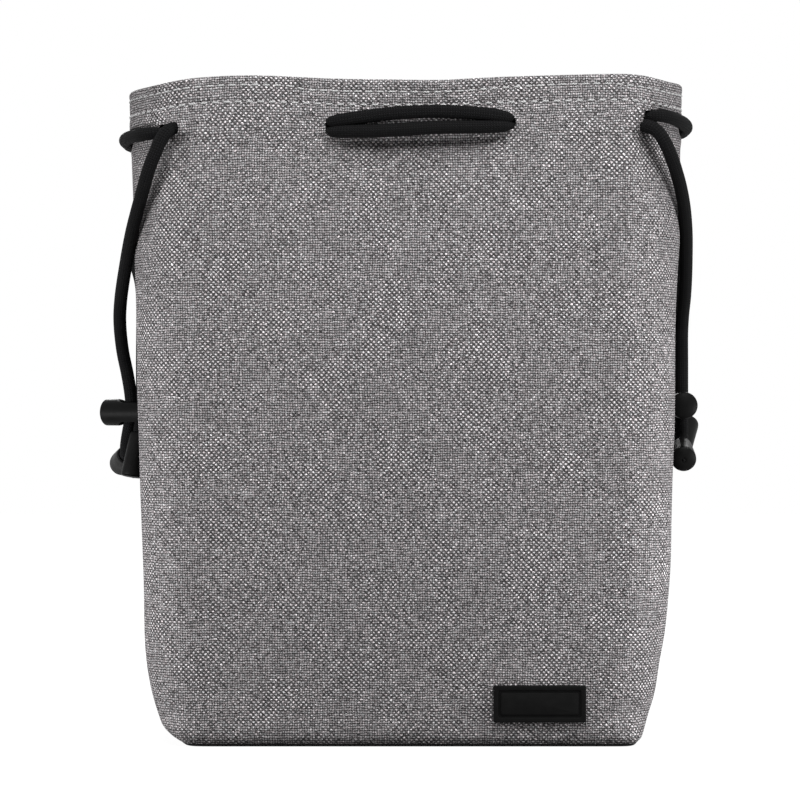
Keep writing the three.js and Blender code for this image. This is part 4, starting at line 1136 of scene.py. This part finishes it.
# A row of stitches round the rim, each stitch a short thread lying in its dent
def stitch_row(name, row, phase):
    count = int(MOUTH_LENGTH / STITCH_PITCH)
    pitch = MOUTH_LENGTH / count
    sides, rings = 8, 7
    shares = np.linspace(-1, 1, rings)
    sink = 0.2 - 0.6 * np.abs(shares) ** 4
    radius = STITCH_RADIUS * np.sqrt(np.clip(1 - 0.8 * np.abs(shares) ** 3, 0.05, 1))
    one = stack_faces(rings, sides)
    vertices, faces = [], []
    for i in range(count):
        u = mouth_u((i + phase) * pitch + shares * STITCH_HALF)
        drop = row_drop(*outline(u, row)) if row == STITCH_ROWS[0] else 0
        centre = cloth_points(u, 0.0, row - drop)
        nx, ny = outline_normal(u, row)
        centre[:, 0] += nx * sink
        centre[:, 1] += ny * sink
        faces += [tuple(len(vertices) + corner for corner in face) for face in one]
        for k in range(rings):
            for j in range(sides):
                angle = 2 * math.pi * j / sides
                out = radius[k] * math.cos(angle)
                vertices.append(centre[k] + np.array([out * nx[k], out * ny[k], radius[k] * math.sin(angle)]))
    uvs = stack_uvs(np.arange(rings) * 0.5, sides, 0.24) * count
    return dress(make_object(name, vertices, faces, uvs), sewing_thread, "cloth")


stitch_row("stitches_upper", STITCH_ROWS[0], 0.0)
stitch_row("stitches_lower", STITCH_ROWS[1], 0.5)


# Rubber patch: rounded rings from the back face over the frame and the groove to the bare field
PATCH_WIDTH = 36
PATCH_HEIGHT = 14.4
PATCH_THICKNESS = 1.7
PATCH_FRAME = 1.9
PATCH_GROOVE = 1.1
PATCH_GROOVE_DEPTH = 0.6
PATCH_X = 51.8
PATCH_Z = 17.1


def rounded_ring(inset, depth, corner):
    ring = []
    half_x = PATCH_WIDTH / 2 - inset
    half_z = PATCH_HEIGHT / 2 - inset
    corner = min(corner, half_x, half_z)
    for quarter, (sx, sz) in enumerate(((1, 1), (-1, 1), (-1, -1), (1, -1))):
        for step in range(7):
            angle = (quarter + step / 6) * math.pi / 2
            ring.append((sx * (half_x - corner) + corner * math.cos(angle), depth,
                         sz * (half_z - corner) + corner * math.sin(angle)))
    return ring


def patch_piece():
    front = -PATCH_THICKNESS
    groove = front + PATCH_GROOVE_DEPTH
    field = PATCH_FRAME + PATCH_GROOVE
    steps = [
        (0, 0), (0, front + 0.5), (0.07, front + 0.22), (0.25, front + 0.05), (0.5, front),
        (PATCH_FRAME - 0.25, front), (PATCH_FRAME - 0.06, front + 0.08), (PATCH_FRAME, front + 0.3),
        (PATCH_FRAME + 0.04, groove), (field - 0.04, groove), (field, front + 0.3),
        (field + 0.06, front + 0.08), (field + 0.25, front),
    ]
    rings = [rounded_ring(inset, depth, max(0.35, 0.9 - 0.1 * inset)) for inset, depth in steps]
    piece = make_object("rubber_patch", np.concatenate(rings), stack_faces(len(rings), len(rings[0])))
    _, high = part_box("label_patch")
    piece.data.transform(Matrix.Translation((PATCH_X * MM, high[1], PATCH_Z * MM)))
    shade_by_angle(piece, 35)
    return piece


dress(patch_piece(), rubber, "patch", "label_patch")

# Barrel locks, lathed about X and cut by the slot that the cords go through
LOCK_RADIUS = 5.4
LOCK_BORE = 4.3
LOCK_LENGTH = 26
LOCK_END_WALL = 1.2
LOCK_SEGMENTS = 72
# Where the slot starts and ends along the lock, and half its width
SLOT = (8.6, 23.6, 3.2)
SLOT_FLARE = 1.5
BUTTON_RADIUS = 4.1
BUTTON_START = 6.6
BUTTON_END = 28.8
BUTTON_TRAVEL = 2
EDGE_BEVEL = 0.22
# Each lock: the middle of its slot, its heading in degrees and the bodies of housing and button
LOCKS = {
    "left": ((-108.85, 8.08, 129.8), -28, ("left_lock", "left_button")),
    "right": ((111.9, 10.15, 132.6), 90, ("right_lock", "right_button")),
}


def slot_outline(start, end, half, grow):
    points = []
    for centre, first in ((end - half, -0.5), (start + half, 0.5)):
        for step in range(13):
            angle = math.pi * (first + step / 12)
            points.append((centre + (half + grow) * math.cos(angle), (half + grow) * math.sin(angle)))
    return points


def slot_cutter(start, end, half, flare):
    reach = [(9, 0)]
    if flare:
        reach = [(2, 0), (2.6, 0.05), (4.2, flare * 0.38), (5.6, flare), (9, flare * 1.6)]
    levels = [(-depth, grow) for depth, grow in reach[::-1]] + reach
    rings = [[(x, y, depth) for x, y in slot_outline(start, end, half, grow)] for depth, grow in levels]
    return make_object("slot_cutter", np.concatenate(rings), stack_faces(len(rings), len(rings[0])))


def cut_slot(piece, start, end, half, flare):
    cutter = slot_cutter(start, end, half, flare)
    cut = piece.modifiers.new("slot", "BOOLEAN")
    cut.operation = "DIFFERENCE"
    cut.solver = "EXACT"
    cut.object = cutter
    edge = piece.modifiers.new("edge", "BEVEL")
    edge.width = EDGE_BEVEL * MM
    edge.segments = 2
    edge.limit_method = "ANGLE"
    edge.angle_limit = math.radians(38)
    bake_modifiers(piece)
    bpy.data.objects.remove(cutter)
    shade_by_angle(piece, 42)
    return piece


def housing_profile():
    shell = [(LOCK_END_WALL, 0), (0, 0), (0.03, 0.8), (0.13, 1.7), (0.3, 2.6), (0.54, 3.5), (0.82, 4.25),
             (1.08, 4.8), (1.3, 5.12), (1.55, 5.32), (1.9, LOCK_RADIUS)]
    middle = [(x, LOCK_RADIUS) for x in (5, 8, 12, 16, 20, 24)]
    lip = [(LOCK_LENGTH - 0.45, LOCK_RADIUS), (LOCK_LENGTH - 0.12, 5.27), (LOCK_LENGTH, 4.95),
           (LOCK_LENGTH, LOCK_BORE + 0.15)]
    bore = [(LOCK_LENGTH - 0.2, LOCK_BORE), (14, LOCK_BORE), (LOCK_END_WALL, LOCK_BORE)]
    return shell + middle + lip + bore + [(LOCK_END_WALL, 0)]


def button_profile():
    start = [(BUTTON_START, 0), (BUTTON_START, 3.8), (BUTTON_START + 0.3, BUTTON_RADIUS)]
    body = [(x, BUTTON_RADIUS) for x in (10, 14, 18, 22, 26)]
    end = [(BUTTON_END - 1.2, BUTTON_RADIUS), (BUTTON_END - 0.7, 3.95), (BUTTON_END - 0.3, 3.5),
           (BUTTON_END - 0.08, 2.8), (BUTTON_END, 1.8)]
    return start + body + end + [(BUTTON_END, 0)]


for side, (middle, heading, bodies) in LOCKS.items():
    axis = Vector((math.cos(math.radians(heading)), math.sin(math.radians(heading)), 0))
    origin = Vector(middle) - axis * (SLOT[0] + SLOT[1]) / 2
    frame_turn = Matrix.Translation(origin * MM) @ Matrix.Rotation(math.radians(heading), 4, "Z")
    housing = cut_slot(lathe(f"{side}_lock_barrel", housing_profile(), LOCK_SEGMENTS), *SLOT, SLOT_FLARE)
    housing.data.transform(frame_turn)
    dress(housing, plastic, "plastic", f"{side}_lock_housing", body=bodies[0])
    plunger = lathe(f"{side}_lock_plunger", button_profile(), LOCK_SEGMENTS)
    button = cut_slot(plunger, SLOT[0], SLOT[1] + BUTTON_TRAVEL, SLOT[2], 0)
    button.data.transform(frame_turn)
    dress(button, plastic, "plastic", f"{side}_lock_button", body=bodies[1])
    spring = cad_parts[f"{side}_lock_spring"]
    for slot in spring.material_slots:
        slot.material = steel.material
    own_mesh(spring)

# Floor and background: both white to the camera. The floor still takes light, so the shadow stays
STAGE_HALF = 2500
FLOOR_DROP = 0.0002
FLOOR_COLOUR = (0.1, 0.1, 0.1, 1)
FLOOR_GLOW = 0.95
GLOW_RISES = (0.2, 0.6)
AMBIENT = 0.2
WHITE = (1, 1, 1, 1)
corners = np.array([(-1, -1, 0), (1, -1, 0), (1, 1, 0), (-1, 1, 0)]) * STAGE_HALF
floor = make_object("floor", corners, [(0, 1, 2, 3)])
floor.location.z = -FLOOR_DROP
ground = Finish("white_floor", roughness=1.0, specular=0.0)
ground.feed(ground.inputs["Base Color"], FLOOR_COLOUR)
ground.feed(ground.inputs["Emission Color"], WHITE)
away = ground.node("ShaderNodeVectorMath", ground.place(), operation="LENGTH").outputs["Value"]
glow = ground.remap(away, *GLOW_RISES, FLOOR_GLOW, 1.0)
ground.feed(ground.inputs["Emission Strength"], ground.math("MULTIPLY", ground.looked_at(), glow))
floor.data.materials.append(ground.material)

world = bpy.data.worlds.new("studio")
bpy.context.scene.world = world
world.use_nodes = True
sky = Nodes(world.node_tree)
sky.tree.nodes.clear()
plain = sky.node("ShaderNodeBackground", WHITE, 1.0).outputs[0]
ambient = sky.node("ShaderNodeBackground", WHITE, AMBIENT).outputs[0]
blend = sky.node("ShaderNodeMixShader", sky.looked_at(), ambient, plain)
sky.node("ShaderNodeOutputWorld", blend.outputs[0])

# Lamps: name, place, what they point at, width, height and watts
LAMPS = (
    ("key_above_front", (0.06, -0.42, 0.68), (0, 0, 0.2), 0.5, 0.35, 6.8),
    ("fill_behind", (0, 0.62, 0.42), (0, 0, 0.12), 0.5, 0.35, 5),
    ("left_side", (-0.38, -0.13, 0.06), (-0.06, 0, 0.06), 0.2, 0.11, 1.3),
    ("right_side", (0.38, -0.13, 0.06), (0.06, 0, 0.06), 0.2, 0.11, 1.5),
)
for name, place, target, width, height, watts in LAMPS:
    data = bpy.data.lights.new(name, "AREA")
    data.shape = "RECTANGLE"
    data.size = width
    data.size_y = height
    data.energy = watts
    lamp = add_object(name, data)
    lamp.location = place
    lamp.rotation_euler = (Vector(target) - Vector(place)).to_track_quat("-Z", "Y").to_euler()

bpy.context.scene.view_settings.view_transform = "Standard"
